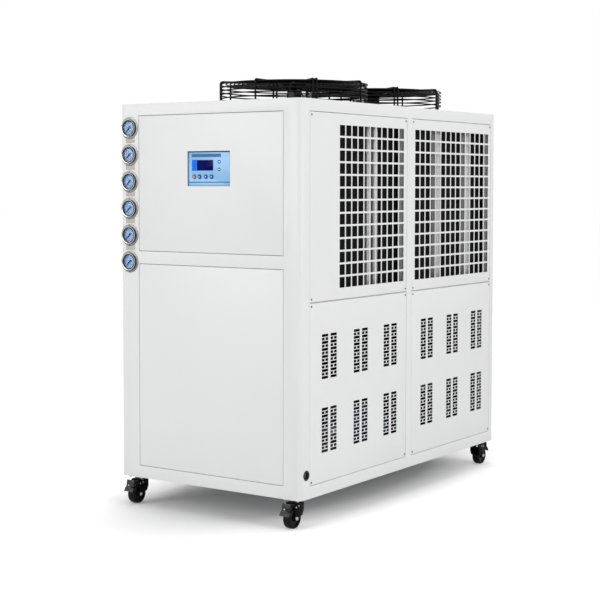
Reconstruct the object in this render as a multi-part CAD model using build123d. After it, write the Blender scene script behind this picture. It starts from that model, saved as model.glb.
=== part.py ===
# Air-cooled box water chiller on four swivel casters.
# The sheet-steel cabinet carries side grilles, two top fans, a control door and six dial gauges.
# Millimetres, +Z up. The origin is on the floor under the middle of the whole machine.
# The front, with its doors and gauges, faces -Y, and the operator's right is +X.
from build123d import *
import math
import os

os.makedirs("parts", exist_ok=True)

# Cabinet and its frame
cabinet_width = 860.0
cabinet_depth = 1540.0
cabinet_height = 1460.0
corner_radius = 22.0
frame_depth = 32.0
rim_width = 62.0
left_stile = 95.0
right_stile = 77.5
front_top_rail = 45.0
front_bottom_rail = 47.0
front_mid_rail = 48.0
upper_door_height = 526.5
side_front_post = 56.0
side_mid_post = 40.0
side_rear_post = 44.0
side_top_rail = 45.0
side_bottom_rail = 45.0
side_upper_height = 698.0
hidden_rail = 36.0
rear_stile = 60.0
ledge = 14.0

# Sheets, seams and general clearances
sheet = 2.0
panel_return = 12.0
seam = 2.0
seat_gap = 0.3
door_seat_gap = 1.3
running_gap = 0.05

# Flat sides that stand for round ones, which keeps the facets few
round_sides = 16
pin_sides = 8
cup_sides = 20
collar_sides = 32
head_sides = 6

# Casters
caster_height = 110.0
caster_side_inset = 57.0
caster_end_inset = 50.0
caster_plate_size = 74.0
caster_plate_thickness = 4.0
raceway_radius = 23.0
raceway_height = 9.0
kingpin_radius = 5.0
kingpin_below = 8.0
crown_thickness = 3.5
caster_trail = 24.0
wheel_radius = 38.0
wheel_width = 27.0
wheel_recess = 4.0
wheel_rim = 9.0
wheel_hub_radius = 11.0
wheel_sides = 20
wheel_recess_sides = 12
axle_radius = 4.0
axle_head_radius = 7.0
axle_head = 4.0
cheek_thickness = 3.0
cheek_clearance = 1.5
cheek_foot = 9.0
pedal_pivot_out = 16.0
pedal_pivot_gap = 0.7
pedal_pin_radius = 2.5
pedal_run = 60.0
pedal_fall = 24.0
pedal_thickness = 3.0
pedal_neck_width = 24.0
pedal_width = 44.0
pedal_neck = 30.0

# Side grilles and vents
grille_margin_side = 26.0
grille_margin_top = 44.5
grille_rows = 13
grille_row_pitch = 47.4
grille_hole_height = 40.0
grille_column_pitch = 43.75
grille_hole_width = 35.5
grille_blank_columns = 4
vent_groups = 3
vent_group_pitch = 221.0
vent_column_pitch = 58.5
vent_slot_width = 43.0
vent_low_start = 157.0
vent_top_margin = 124.5
vent_block_height = 162.0
vent_front_shift = 2.0

# Screws
screw_inset_side = 11.0
screw_inset_end = 13.0
screw_radius = 4.2
screw_head = 1.8

# Doors, hinge pins and controller
pin_inset = 4.0
pin_radius = 1.5
pin_reach = 6.0
controller_width = 202.0
controller_height = 132.0
controller_drop = 207.5
controller_recess = 5.0
controller_depth = 30.0
controller_flange = 8.0
display_width = 76.0
display_height = 38.0
display_left = 42.5
display_top = 34.5
display_proud = 0.6
key_radius = 8.5
key_height_up = 35.5
key_places = (29.0, 54.5, 84.5, 111.5)
key_travel = 1.2
key_proud = 2.5
key_gap = 0.4

# Dial gauges
gauge_count = 6
gauge_first_drop = 93.0
gauge_pitch = 104.2
gauge_inset = 50.0
gauge_flange_radius = 42.5
gauge_flange = 2.5
gauge_case_radius = 33.5
gauge_reach = 11.0
gauge_bezel_wall = 3.5
gauge_dial_depth = 1.0
gauge_spigot_radius = 1.5
gauge_spigot = 4.5
gauge_lens_thickness = 2.0
gauge_lens_set_back = 1.5
needle_length = 20.0
needle_tail = 9.0
needle_width = 2.4
needle_hub_radius = 3.6
needle_thickness = 1.4
needle_zero_angle = 225.0
label_width = 44.0
label_height = 20.0
label_thickness = 1.2
label_drop = 47.5
label_shift = 3.0

# Fans and their guards
fan_first_centre = 578.0
fan_last_inset = 345.0
fan_land = 24.5
fan_side_land = 146.0
fan_collar_depth = 50.0
guard_overhang = 16.0
guard_height = 103.0
guard_wire = 5.0
guard_ribs = 8
guard_turn = 5.0
guard_side_rings = (34.0, 66.0)
guard_top_ring_shares = (0.4, 0.7)
guard_hub_radius = 60.0
guard_hub_thickness = 4.0
motor_radius = 52.0
motor_height = 120.0
motor_shaft_radius = 8.0
hub_radius = 70.0
hub_height = 78.0
hub_wall = 6.0
hub_gap = 10.0
blade_count = 5
blade_tip_gap = 12.0
blade_chord = 118.0
blade_thickness = 3.0
blade_pitch_angle = 27.0
blade_camber = 9.0
blade_height = 30.0

# Condenser coils
coil_thickness = 58.0
coil_front = 262.0
coil_rear_gap = 40.0
coil_bottom = 745.0
coil_top_gap = 56.0
coil_channel = 79.0
coil_channel_depth = 6.0
coil_channel_from_front = 535.0
coil_channels_from_rear = (486.0, 228.0)

# Electrical compartment
bulkhead_back = 256.0
bulkhead_bottom = 880.0
device_rows = 2
device_columns = 5
device_width = 72.0
device_height = 96.0
device_depth = 82.0
device_pitch = 112.0
device_row_pitch = 190.0

# Machines in the lower compartment, placed from the cabinet's front and right-hand wall
tank_pipe_gap = 38.0
tank_pump_gap = 98.0
tank_height = 560.0
tank_side_inset = 60.0
tank_rear_inset = 60.0
tank_lid_overhang = 10.0
compressor_radius = 92.0
compressor_height = 400.0
compressor_dome = 34.0
compressor_foot = 230.0
compressor_foot_height = 22.0
compressor_from_front = 330.0
compressor_from_right = 250.0
exchanger_width = 120.0
exchanger_length = 240.0
exchanger_height = 500.0
exchanger_from_front = 330.0
exchanger_from_left = 180.0
exchanger_plates = 5
exchanger_groove = 6.0
pump_motor_radius = 70.0
pump_motor_length = 210.0
pump_volute_radius = 88.0
pump_volute_length = 62.0
pump_axis_height = 112.0
pump_from_front = 700.0
pump_from_right = 250.0
pump_foot_width = 130.0
water_pipe_radius = 21.2
water_pipe_bore = 17.5
water_pipe_sides = 8
gas_pipe_radius = 9.0
gas_pipe_sides = 6
drier_sides = 10
drier_radius = 32.0
drier_length = 110.0
gas_port_out = 30.0
gas_port_back = 40.0
exchanger_port_out = 70.0
header_drop = 60.0
suction_rise = 90.0
feed_rise = 40.0
feed_offset = 150.0
pipe_straight = 60.0

# Rear connections
nipple_reach = 50.0
nipple_length = 80.0
inlet_height = 520.0
outlet_height = 380.0
drain_height = 110.0
rear_pipe_inset = 170.0
drain_pipe_radius = 13.5
drain_pipe_bore = 10.0
drain_reach = 50.0
pipe_hole_gap = 3.0
handle_length = 46.0
handle_width = 12.0
handle_thickness = 3.0
handle_stem_radius = 4.0
nut_thickness = 8.0
nut_overhang = 10.0
valve_body_radius = 19.0
valve_body_length = 22.0
valve_stem = 9.0

# Cable entry and its grommet
grommet_from_front = 35.0
grommet_height = 89.0
grommet_radius = 19.0
grommet_neck_radius = 15.5
grommet_bore = 12.5
grommet_flange = 1.8
grommet_neck = 10.0

# Overall reach beyond the cabinet at both ends places it over the origin
pedal_reach = pedal_pivot_out + pedal_run - caster_end_inset
front_reach = max(gauge_reach, pedal_reach)
rear_reach = max(nipple_reach, pedal_reach)
front_y = -(cabinet_depth + rear_reach - front_reach) / 2
rear_y = front_y + cabinet_depth
side_x = cabinet_width / 2
base_z = caster_height
top_z = base_z + cabinet_height
bay_length = (cabinet_depth - side_front_post - side_mid_post - side_rear_post) / 2
front_bay = side_front_post
rear_bay = side_front_post + bay_length + side_mid_post
side_panel_top = cabinet_height - side_top_rail
side_seam_height = side_panel_top - side_upper_height
vent_high_start = side_seam_height - vent_top_margin - vent_block_height
door_left = -side_x + left_stile
door_right = side_x - right_stile
upper_door_top = cabinet_height - front_top_rail
upper_door_bottom = upper_door_top - upper_door_height
front_mid_rail_height = upper_door_bottom - front_mid_rail
controller_centre_height = upper_door_top - controller_drop
gauge_first_height = cabinet_height - gauge_first_drop
coil_top = cabinet_height - coil_top_gap
coil_rear = cabinet_depth - coil_rear_gap
coil_channel_places = (coil_channel_from_front, *(cabinet_depth - back for back in coil_channels_from_rear))
grille_room = bay_length - 2 * grille_margin_side + grille_column_pitch - grille_hole_width
grille_rear_columns = math.floor(grille_room / grille_column_pitch + 1e-6)
grille_front_columns = grille_rear_columns - grille_blank_columns
fan_pitch = cabinet_depth - fan_first_centre - fan_last_inset
fan_opening_radius = min(fan_pitch / 2 - fan_land, side_x - fan_side_land)
guard_radius = fan_opening_radius + guard_overhang
guard_top_ring_radii = tuple(guard_radius * share for share in guard_top_ring_shares)
blade_tip_radius = fan_opening_radius - blade_tip_gap
pump_end = pump_from_front + pump_motor_length
tank_length = cabinet_depth - frame_depth - tank_rear_inset - pump_end - tank_pump_gap
cavity_x = side_x - frame_depth


def block(x0, x1, y0, y1, z0, z1):
    """A box between two opposite corners."""
    centre = Pos((x0 + x1) / 2, (y0 + y1) / 2, (z0 + z1) / 2)
    return centre * Box(x1 - x0, y1 - y0, z1 - z0)


def rod(radius, start, end, sides=0):
    """A straight bar from start to end, round or with flat sides."""
    line = Vector(*end) - Vector(*start)
    plane = Plane(origin=start, z_dir=line)
    outline = RegularPolygon(radius, sides) if sides else Circle(radius)
    return extrude(plane * outline, line.length)


def bore(radius, start, end, sides):
    """A cutter whose flats lie outside its circle, so that a pin of that radius always turns in it."""
    line = Vector(*end) - Vector(*start)
    outline = RegularPolygon(radius, sides, major_radius=False, rotation=180.0 / sides)
    return extrude(Plane(origin=start, z_dir=line) * outline, line.length)


def pipe(radius, points, sides):
    """A mitred pipe of flat-sided section along straight runs."""
    path = Polyline(*points)
    section = Plane(origin=points[0], z_dir=path % 0) * RegularPolygon(radius, sides)
    return sweep(section, path, transition=Transition.RIGHT)


def save(shape, node):
    """Write one node."""
    export_step(shape, f"parts/{node}.step")


def side_block(side, inward_0, inward_1, back_0, back_1, up_0, up_1):
    """A box in a side wall, by depth behind the wall's face, place behind the front, and height."""
    x_outer = side * (side_x - inward_0)
    x_inner = side * (side_x - inward_1)
    return block(min(x_outer, x_inner), max(x_outer, x_inner),
                 front_y + back_0, front_y + back_1, base_z + up_0, base_z + up_1)


def tray(x0, x1, z0, z1, face_y, inward):
    """A folded panel in a wall that faces along Y: a face sheet with four returns."""
    back_y = face_y + inward * panel_return
    inner_y = face_y + inward * sheet
    outer = block(x0, x1, min(face_y, back_y), max(face_y, back_y), z0, z1)
    hollow = block(x0 + sheet, x1 - sheet, min(inner_y, back_y), max(inner_y, back_y),
                   z0 + sheet, z1 - sheet)
    return outer - hollow


def window_cuts(x0, x1, z0, z1, face_y, inward, openings, gap):
    """The rebate that takes a panel in a Y wall with a gap behind it, and the openings further in."""
    seat = panel_return + gap
    seat_y = face_y + inward * seat
    through_y = face_y + inward * (frame_depth + 1)
    cuts = [block(x0, x1, min(face_y - inward, seat_y), max(face_y - inward, seat_y), z0, z1)]
    for low, high in openings:
        cuts.append(block(x0 + ledge, x1 - ledge, min(face_y, through_y),
                          max(face_y, through_y), low, high))
    return cuts


def make_cabinet_frame():
    """The welded frame: posts and rails around the panels, with a rounded skin at the corners."""
    footprint = RectangleRounded(cabinet_width, cabinet_depth, corner_radius)
    body = extrude(Plane(origin=(0, (front_y + rear_y) / 2, base_z)) * footprint, cabinet_height)
    cavity = block(-cavity_x, cavity_x, front_y + frame_depth, rear_y - frame_depth,
                   base_z + frame_depth, top_z - frame_depth)
    floor_opening = block(-side_x + rim_width, side_x - rim_width, front_y + rim_width,
                          rear_y - rim_width, base_z - 1, base_z + frame_depth + 1)
    cover_seat = block(-side_x + ledge, side_x - ledge, front_y + ledge, rear_y - ledge,
                       top_z - sheet, top_z + 1)
    roof_opening = block(-cavity_x, cavity_x, front_y + frame_depth, rear_y - frame_depth,
                         top_z - frame_depth - 1, top_z + 1)
    cuts = [cavity, floor_opening, cover_seat, roof_opening]
    cuts += window_cuts(door_left, door_right, base_z + front_bottom_rail,
                        base_z + front_mid_rail_height, front_y, 1,
                        [(base_z + front_bottom_rail + ledge, base_z + front_mid_rail_height - ledge)],
                        door_seat_gap)
    cuts += window_cuts(door_left, door_right, base_z + upper_door_bottom, base_z + upper_door_top,
                        front_y, 1,
                        [(base_z + upper_door_bottom + ledge, base_z + upper_door_top - ledge)],
                        door_seat_gap)
    rail_low = side_seam_height - hidden_rail / 2
    rail_high = side_seam_height + hidden_rail / 2
    openings = [(base_z + side_bottom_rail + ledge, base_z + rail_low),
                (base_z + rail_high, base_z + side_panel_top - ledge)]
    cuts += window_cuts(-side_x + rear_stile, side_x - rear_stile, base_z + side_bottom_rail,
                        base_z + side_panel_top, rear_y, -1, openings, seat_gap)
    for side in (-1, 1):
        for bay in (front_bay, rear_bay):
            cuts.append(side_block(side, -1, panel_return + seat_gap, bay, bay + bay_length,
                                   side_bottom_rail, side_panel_top))
            for low, high in openings:
                cuts.append(side_block(side, 0, frame_depth + 1, bay + ledge, bay + bay_length - ledge,
                                       low - base_z, high - base_z))
    cable_y = front_y + grommet_from_front
    cable_z = base_z + grommet_height
    cuts.append(bore(grommet_neck_radius + seat_gap, (side_x + 1, cable_y, cable_z),
                     (door_right - 1, cable_y, cable_z), round_sides))
    return body - cuts


def make_base_pan():
    """The floor sheet on the bottom rim, with a folded lip all round."""
    lip = 24.0
    x_edge = cavity_x - seat_gap
    front = front_y + frame_depth + seat_gap
    rear = rear_y - frame_depth - seat_gap
    floor_z = base_z + frame_depth
    outer = block(-x_edge, x_edge, front, rear, floor_z, floor_z + lip)
    hollow = block(-x_edge + sheet, x_edge - sheet, front + sheet, rear - sheet,
                   floor_z + sheet, floor_z + lip + 1)
    return outer - hollow


def fan_centre(index):
    """The Y place of a fan's axis."""
    return front_y + fan_first_centre + index * fan_pitch


def make_top_cover():
    """The roof sheet, with a collar turned down around each fan."""
    cover = block(-side_x + ledge + seat_gap, side_x - ledge - seat_gap,
                  front_y + ledge + seat_gap, rear_y - ledge - seat_gap, top_z - sheet, top_z)
    for index in range(2):
        axis = Pos(0, fan_centre(index), top_z)
        collar = RegularPolygon(fan_opening_radius + sheet, collar_sides, major_radius=False)
        opening = RegularPolygon(fan_opening_radius, collar_sides, major_radius=False)
        cover += axis * extrude(collar, -fan_collar_depth)
        cover -= axis * extrude(opening, 2 * fan_collar_depth, both=True)
    return cover


def side_tray(side, bay, low, high):
    """A folded panel in a side wall, with its clearance at the seams."""
    outer = side_block(side, 0, panel_return, bay + seam, bay + bay_length - seam, low + seam, high - seam)
    inset = seam + sheet
    hollow = side_block(side, sheet, panel_return + 1, bay + inset, bay + bay_length - inset,
                        low + inset, high - inset)
    return outer - hollow


def punched(panel, side, windows):
    """Cut windows, given as (back, up, length, height), through a side panel's face sheet."""
    holes = [side_block(side, -1, sheet + 1, back, back + length, up, up + height)
             for back, up, length, height in windows]
    return panel - Compound(children=holes)


def grille_windows(bay, columns, rows):
    """The grille's windows, laid out from the rear margin forward and from the top down."""
    last_column = bay + bay_length - grille_margin_side - grille_hole_width
    first_row = side_panel_top - grille_margin_top - grille_hole_height
    rows_per_hole = grille_rows // rows
    span = (rows_per_hole - 1) * grille_row_pitch
    windows = []
    for column in range(columns):
        back = last_column - column * grille_column_pitch
        for row in range(rows):
            up = first_row - row * rows_per_hole * grille_row_pitch - span
            windows.append((back, up, grille_hole_width, grille_hole_height + span))
    return windows


def vent_windows(bay, shift):
    """The vent slots: two blocks high, groups of two columns each."""
    windows = []
    middle = bay + bay_length / 2 + shift
    for group in range(vent_groups):
        centre = middle + (group - (vent_groups - 1) / 2) * vent_group_pitch
        for column in (-1, 1):
            back = centre + column * vent_column_pitch / 2 - vent_slot_width / 2
            for start in (vent_low_start, vent_high_start):
                windows.append((back, start, vent_slot_width, vent_block_height))
    return windows


def make_side_panels():
    """The eight side panels by node name. The right-hand grilles have every row as its own window."""
    panels = {}
    for side, name, rows in ((1, "right", grille_rows), (-1, "left", 1)):
        for bay, place, columns, shift in ((front_bay, "front", grille_front_columns, vent_front_shift),
                                           (rear_bay, "rear", grille_rear_columns, 0.0)):
            upper = side_tray(side, bay, side_seam_height, side_panel_top)
            lower = side_tray(side, bay, side_bottom_rail, side_seam_height)
            panels[f"{name}_{place}_grille"] = punched(upper, side, grille_windows(bay, columns, rows))
            panels[f"{name}_{place}_vent_panel"] = punched(lower, side, vent_windows(bay, shift))
    return panels


def rear_pipe_x():
    """The X place of the rear water connections."""
    return -side_x + rear_pipe_inset


def make_rear_panels():
    """The two rear panels. The lower one has holes for the water connections."""
    x0 = -side_x + rear_stile + seam
    x1 = side_x - rear_stile - seam
    upper = tray(x0, x1, base_z + side_seam_height + seam, base_z + side_panel_top - seam, rear_y, -1)
    lower = tray(x0, x1, base_z + side_bottom_rail + seam, base_z + side_seam_height - seam, rear_y, -1)
    for height, radius in ((inlet_height, water_pipe_radius), (outlet_height, water_pipe_radius),
                           (drain_height, drain_pipe_radius)):
        lower -= bore(radius + pipe_hole_gap, (rear_pipe_x(), rear_y + 1, base_z + height),
                      (rear_pipe_x(), rear_y - sheet - 1, base_z + height), round_sides)
    return upper, lower


def make_panel_screws():
    """One screw at each corner of the screwed panels, as a group of separate heads."""
    heads = []
    levels = (side_bottom_rail + screw_inset_end, side_seam_height - screw_inset_end,
              side_seam_height + screw_inset_end, side_panel_top - screw_inset_end)
    for up in levels:
        z = base_z + up
        for side in (-1, 1):
            for bay in (front_bay, rear_bay):
                for back in (bay + screw_inset_side, bay + bay_length - screw_inset_side):
                    y = front_y + back
                    heads.append(rod(screw_radius, (side * side_x, y, z),
                                     (side * (side_x + screw_head), y, z), head_sides))
            x = side * (side_x - rear_stile - screw_inset_side)
            heads.append(rod(screw_radius, (x, rear_y, z), (x, rear_y + screw_head, z), head_sides))
    return Compound(children=heads)


def make_cable_grommet():
    """The rubber bush in the corner post that a supply cable would enter by."""
    y = front_y + grommet_from_front
    z = base_z + grommet_height
    flange = rod(grommet_radius, (side_x, y, z), (side_x + grommet_flange, y, z), round_sides)
    neck = rod(grommet_neck_radius, (side_x - grommet_neck, y, z), (side_x, y, z), round_sides)
    return flange + neck - rod(grommet_bore, (side_x - grommet_neck - 1, y, z),
                               (side_x + grommet_flange + 1, y, z), round_sides)


def door_with_pin_holes(low, high):
    """A front door: a tray with holes in its top and bottom returns for the pivot pins."""
    door = tray(door_left + seam, door_right - seam, base_z + low + seam, base_z + high - seam, front_y, 1)
    x = door_right - seam - pin_inset
    y = front_y + pin_inset
    for z in (base_z + low + seam, base_z + high - seam):
        door -= bore(pin_radius + running_gap, (x, y, z - sheet - 1), (x, y, z + sheet + 1), pin_sides)
    return door


def make_door_hinge_pins():
    """The four fixed pins that stand out of the rails into the doors' returns."""
    x = door_right - seam - pin_inset
    y = front_y + pin_inset
    pins = []
    for low, high in ((front_bottom_rail, front_mid_rail_height), (upper_door_bottom, upper_door_top)):
        for start in (low, high - pin_reach):
            z = base_z + start
            pins.append(rod(pin_radius, (x, y, z), (x, y, z + pin_reach)))
    return Compound(children=pins)


def controller_box(margin, front, back):
    """A box on the controller's outline, by its depths behind the door's face."""
    x = (door_left + door_right) / 2
    z = base_z + controller_centre_height
    return block(x - controller_width / 2 - margin, x + controller_width / 2 + margin,
                 front_y + front, front_y + back, z - controller_height / 2 - margin,
                 z + controller_height / 2 + margin)


def controller_left():
    """The X place of the controller's left edge."""
    return (door_left + door_right - controller_width) / 2


def display_box(front, back):
    """A box on the display's outline."""
    x0 = controller_left() + display_left
    z1 = base_z + controller_centre_height + controller_height / 2 - display_top
    return block(x0, x0 + display_width, front_y + front, front_y + back, z1 - display_height, z1)


def key_cylinder(index, radius, front, back):
    """A round bar on one key's axis."""
    x = controller_left() + key_places[index]
    z = base_z + controller_centre_height - controller_height / 2 + key_height_up
    return rod(radius, (x, front_y + front, z), (x, front_y + back, z), round_sides)


def make_controller_panel():
    """The controller's housing behind the door's cut-out: a sunk face with a display pocket and key wells."""
    panel = controller_box(controller_flange, sheet, controller_depth)
    panel -= controller_box(0, sheet - 1, controller_recess)
    panel -= display_box(controller_recess - 1, controller_recess + 2 * sheet)
    for index in range(len(key_places)):
        panel -= key_cylinder(index, key_radius + key_gap, controller_recess - 1,
                              controller_recess + 4 * key_travel)
    return panel


def make_key(index):
    """A round key that stands a little out of the controller's face."""
    return key_cylinder(index, key_radius, controller_recess - key_proud,
                        controller_recess + 4 * key_travel - key_travel - seat_gap)


def gauge_axis(index):
    """The X and Z place of a gauge's axis."""
    return -side_x + gauge_inset, base_z + gauge_first_height - index * gauge_pitch


def gauge_rod(index, radius, near, far, sides):
    """A bar on a gauge's axis, by its distances in front of the cabinet's face."""
    x, z = gauge_axis(index)
    return rod(radius, (x, front_y - near, z), (x, front_y - far, z), sides)


def make_gauge_case(index):
    """A round flange and bezel around a recessed dial, with a spigot that carries the needle."""
    case = gauge_rod(index, gauge_flange_radius, 0, gauge_flange, round_sides)
    case += gauge_rod(index, gauge_case_radius, gauge_flange, gauge_reach, round_sides)
    bezel_bore = gauge_case_radius - gauge_bezel_wall
    case -= gauge_rod(index, bezel_bore, gauge_dial_depth, gauge_reach + 1, round_sides)
    spigot_end = gauge_dial_depth + gauge_spigot
    return case + gauge_rod(index, gauge_spigot_radius, gauge_dial_depth, spigot_end, 0)


def make_gauge_lens(index):
    """The flat glass in the bezel."""
    front = gauge_reach - gauge_lens_set_back
    radius = gauge_case_radius - gauge_bezel_wall - seat_gap
    return gauge_rod(index, radius, front - gauge_lens_thickness, front, round_sides)


def make_gauge_needle(index):
    """A tapered pointer with a broad tail, on its hub, lying at the zero mark."""
    x, z = gauge_axis(index)
    near = gauge_dial_depth + gauge_spigot - needle_thickness - seat_gap
    blade = Polygon((-needle_tail, -needle_width), (needle_length, -needle_width / 4),
                    (needle_length, needle_width / 4), (-needle_tail, needle_width), align=None)
    outline = Rotation(0, 0, needle_zero_angle) * blade + RegularPolygon(needle_hub_radius, pin_sides)
    outline -= RegularPolygon(gauge_spigot_radius + running_gap, pin_sides, major_radius=False,
                              rotation=180.0 / pin_sides)
    plane = Plane(origin=(x, front_y - near, z), x_dir=(1, 0, 0), z_dir=(0, -1, 0))
    return extrude(plane * outline, needle_thickness)


def make_gauge_label_plates():
    """The small plates under all gauges but the lowest."""
    plates = []
    for index in range(gauge_count - 1):
        x, z = gauge_axis(index)
        x += label_shift
        z -= label_drop
        plate = block(x - label_width / 2, x + label_width / 2, front_y - label_thickness, front_y,
                      z - label_height / 2, z + label_height / 2)
        plates.append(plate - gauge_rod(index, gauge_flange_radius + seat_gap, -1, gauge_flange,
                                        round_sides))
    return Compound(children=plates)


def guard_ring(radius, low, high):
    """A ring of square wire with flat sides, one side facing each rib."""
    turn = 180.0 / round_sides
    outer = RegularPolygon(radius, round_sides, major_radius=False, rotation=turn)
    inner = RegularPolygon(radius - guard_wire, round_sides, major_radius=False, rotation=turn)
    return extrude(Pos(0, 0, low) * (outer - inner), high - low)


def make_fan_guard(index):
    """The wire basket over a fan: ribs from the roof up and over to the hub plate, tied by rings."""
    foot = guard_radius
    inner = guard_radius - guard_wire
    rib_profile = Polygon((foot, 0), (foot, guard_height - guard_wire), (foot - 2 * guard_wire, guard_height),
                          (guard_hub_radius, guard_height), (guard_hub_radius, guard_height - guard_wire),
                          (inner - guard_wire, guard_height - guard_wire),
                          (inner, guard_height - 2 * guard_wire), (inner, 0), align=None)
    rib = extrude(Plane.XZ * rib_profile, guard_wire / 2, both=True)
    pieces = [Rotation(0, 0, guard_turn + k * 360 / guard_ribs) * rib for k in range(guard_ribs)]
    ring_low = guard_height - 2 * guard_wire
    rings = [guard_ring(inner, height, height + guard_wire) for height in guard_side_rings]
    rings += [guard_ring(radius, ring_low, ring_low + guard_wire) for radius in guard_top_ring_radii]
    turned = [Rotation(0, 0, guard_turn) * ring for ring in rings]
    plate_base = guard_height - guard_wire - guard_hub_thickness
    plate = Pos(0, 0, plate_base) * extrude(RegularPolygon(guard_hub_radius + 2 * guard_wire, round_sides),
                                            guard_hub_thickness)
    place = Pos(0, fan_centre(index), top_z)
    return place * Compound(children=pieces + turned + [plate])


def make_fan_motor(index):
    """The stator under the guard's hub plate, whose shaft carries the impeller."""
    y = fan_centre(index)
    plate_z = top_z + guard_height - guard_wire - guard_hub_thickness
    body = rod(motor_radius, (0, y, plate_z), (0, y, plate_z - motor_height), round_sides)
    shaft_end = plate_z - motor_height - hub_gap - hub_wall - hub_gap
    return body + rod(motor_shaft_radius, (0, y, plate_z - motor_height), (0, y, shaft_end))


def make_blade():
    """One pitched and cambered blade, from inside the hub's rim to the tip."""
    half = blade_chord / 2
    low = [(-half, 0), (-half / 3, blade_camber), (half / 3, blade_camber), (half, 0)]
    high = [(x, up + blade_thickness) for x, up in reversed(low)]
    root = hub_radius - hub_wall / 2
    plane = Plane(origin=(root, 0, 0), x_dir=(0, 1, 0), z_dir=(1, 0, 0))
    blade = extrude(plane * Polygon(*low, *high, align=None), blade_tip_radius - root)
    return Rotation(blade_pitch_angle, 0, 0) * blade


def make_fan_impeller(index):
    """A cup-shaped hub around the motor's lower half, with its blades."""
    y = fan_centre(index)
    shaft_start = top_z + guard_height - guard_wire - guard_hub_thickness - motor_height
    web_top = shaft_start - hub_gap
    cup_base = web_top - hub_wall
    cup = rod(hub_radius, (0, 0, cup_base), (0, 0, cup_base + hub_height), cup_sides)
    cup -= rod(hub_radius - hub_wall, (0, 0, web_top), (0, 0, web_top + hub_height), cup_sides)
    blade = Pos(0, 0, cup_base + blade_height) * make_blade()
    for k in range(blade_count):
        cup += Rotation(0, 0, k * 360 / blade_count) * blade
    cup -= bore(motor_shaft_radius + running_gap, (0, 0, cup_base - 1), (0, 0, web_top + 1), pin_sides)
    return Pos(0, y, 0) * cup


def make_condenser_coils():
    """The fin blocks behind the side grilles, each with its upright support channels."""
    coils = []
    for side in (-1, 1):
        inner = frame_depth + seat_gap
        fins = side_block(side, inner + coil_channel_depth, inner + coil_thickness,
                          coil_front, coil_rear, coil_bottom, coil_top)
        for place in coil_channel_places:
            fins += side_block(side, inner, inner + coil_thickness, place - coil_channel / 2,
                               place + coil_channel / 2, coil_bottom, coil_top)
        for end in (coil_front, coil_rear):
            fins += side_block(side, inner, inner + coil_thickness, end - sheet, end + sheet,
                               coil_bottom, coil_top)
        coils.append(fins)
    return Compound(children=coils)


def make_electrical_panel():
    """The bulkhead behind the control door, with its rows of switchgear."""
    plate = block(-cavity_x + seat_gap, cavity_x - seat_gap, front_y + bulkhead_back - sheet,
                  front_y + bulkhead_back, base_z + bulkhead_bottom, top_z - frame_depth - seat_gap)
    first_x = -(device_columns - 1) * device_pitch / 2
    first_z = base_z + (bulkhead_bottom + cabinet_height - frame_depth) / 2 - device_row_pitch / 2
    for row in range(device_rows):
        for column in range(device_columns):
            x = first_x + column * device_pitch
            z = first_z + row * device_row_pitch
            plate += block(x - device_width / 2, x + device_width / 2,
                           front_y + bulkhead_back - sheet - device_depth, front_y + bulkhead_back - sheet,
                           z - device_height / 2, z + device_height / 2)
    return plate


def pan_top():
    """The height of the base pan's upper face."""
    return base_z + frame_depth + sheet


def tank_left():
    """The X place of the tank's left wall, clear of the pipe that runs beside it."""
    return rear_pipe_x() + tank_pipe_gap


def make_water_tank():
    """The insulated water tank at the rear, with a lid that overhangs it."""
    x0 = tank_left()
    x1 = cavity_x - tank_side_inset
    y1 = rear_y - frame_depth - tank_rear_inset
    over = tank_lid_overhang
    tank = block(x0, x1, y1 - tank_length, y1, pan_top(), pan_top() + tank_height)
    lid = block(x0 - over, x1 + over, y1 - tank_length - over, y1 + over,
                pan_top() + tank_height, pan_top() + tank_height + over)
    return tank + lid


def compressor_place():
    """The X and Y place of the compressor's axis."""
    return side_x - compressor_from_right, front_y + compressor_from_front


def make_compressor():
    """A hermetic scroll compressor on a square foot."""
    x, y = compressor_place()
    z = pan_top()
    half = compressor_foot / 2
    foot = block(x - half, x + half, y - half, y + half, z, z + compressor_foot_height)
    shell = rod(compressor_radius, (x, y, z + compressor_foot_height), (x, y, z + compressor_height), 18)
    return foot + chamfer(shell.faces().sort_by(Axis.Z)[-1].edges(), compressor_dome)


def exchanger_place():
    """The X and Y place of the heat exchanger's middle."""
    return -side_x + exchanger_from_left, front_y + exchanger_from_front


def make_evaporator():
    """A brazed plate heat exchanger, its plate pack between two cover plates."""
    x, y = exchanger_place()
    z = pan_top()
    pack = block(x - exchanger_width / 2, x + exchanger_width / 2, y - exchanger_length / 2,
                 y + exchanger_length / 2, z, z + exchanger_height)
    pitch = exchanger_width / (exchanger_plates + 1)
    for k in range(exchanger_plates):
        groove_x = x - exchanger_width / 2 + (k + 1) * pitch
        for end in (-1, 1):
            edge = y + end * exchanger_length / 2
            pack -= block(groove_x - exchanger_groove / 2, groove_x + exchanger_groove / 2,
                          edge - exchanger_groove, edge + exchanger_groove, z - 1, z + exchanger_height + 1)
    return pack


def pump_place():
    """The X and Y place of the joint between the pump's volute and its motor."""
    return side_x - pump_from_right, front_y + pump_from_front


def make_water_pump():
    """A close-coupled centrifugal pump lying on its foot, its axis along Y."""
    x, y = pump_place()
    z = pan_top() + pump_axis_height
    motor = rod(pump_motor_radius, (x, y, z), (x, y + pump_motor_length, z), 12)
    volute = rod(pump_volute_radius, (x, y - pump_volute_length, z), (x, y, z), 12)
    foot = block(x - pump_foot_width / 2, x + pump_foot_width / 2, y - pump_volute_length,
                 y + pump_motor_length, pan_top(), z - pump_motor_radius * 0.7)
    return motor + volute + foot


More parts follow.
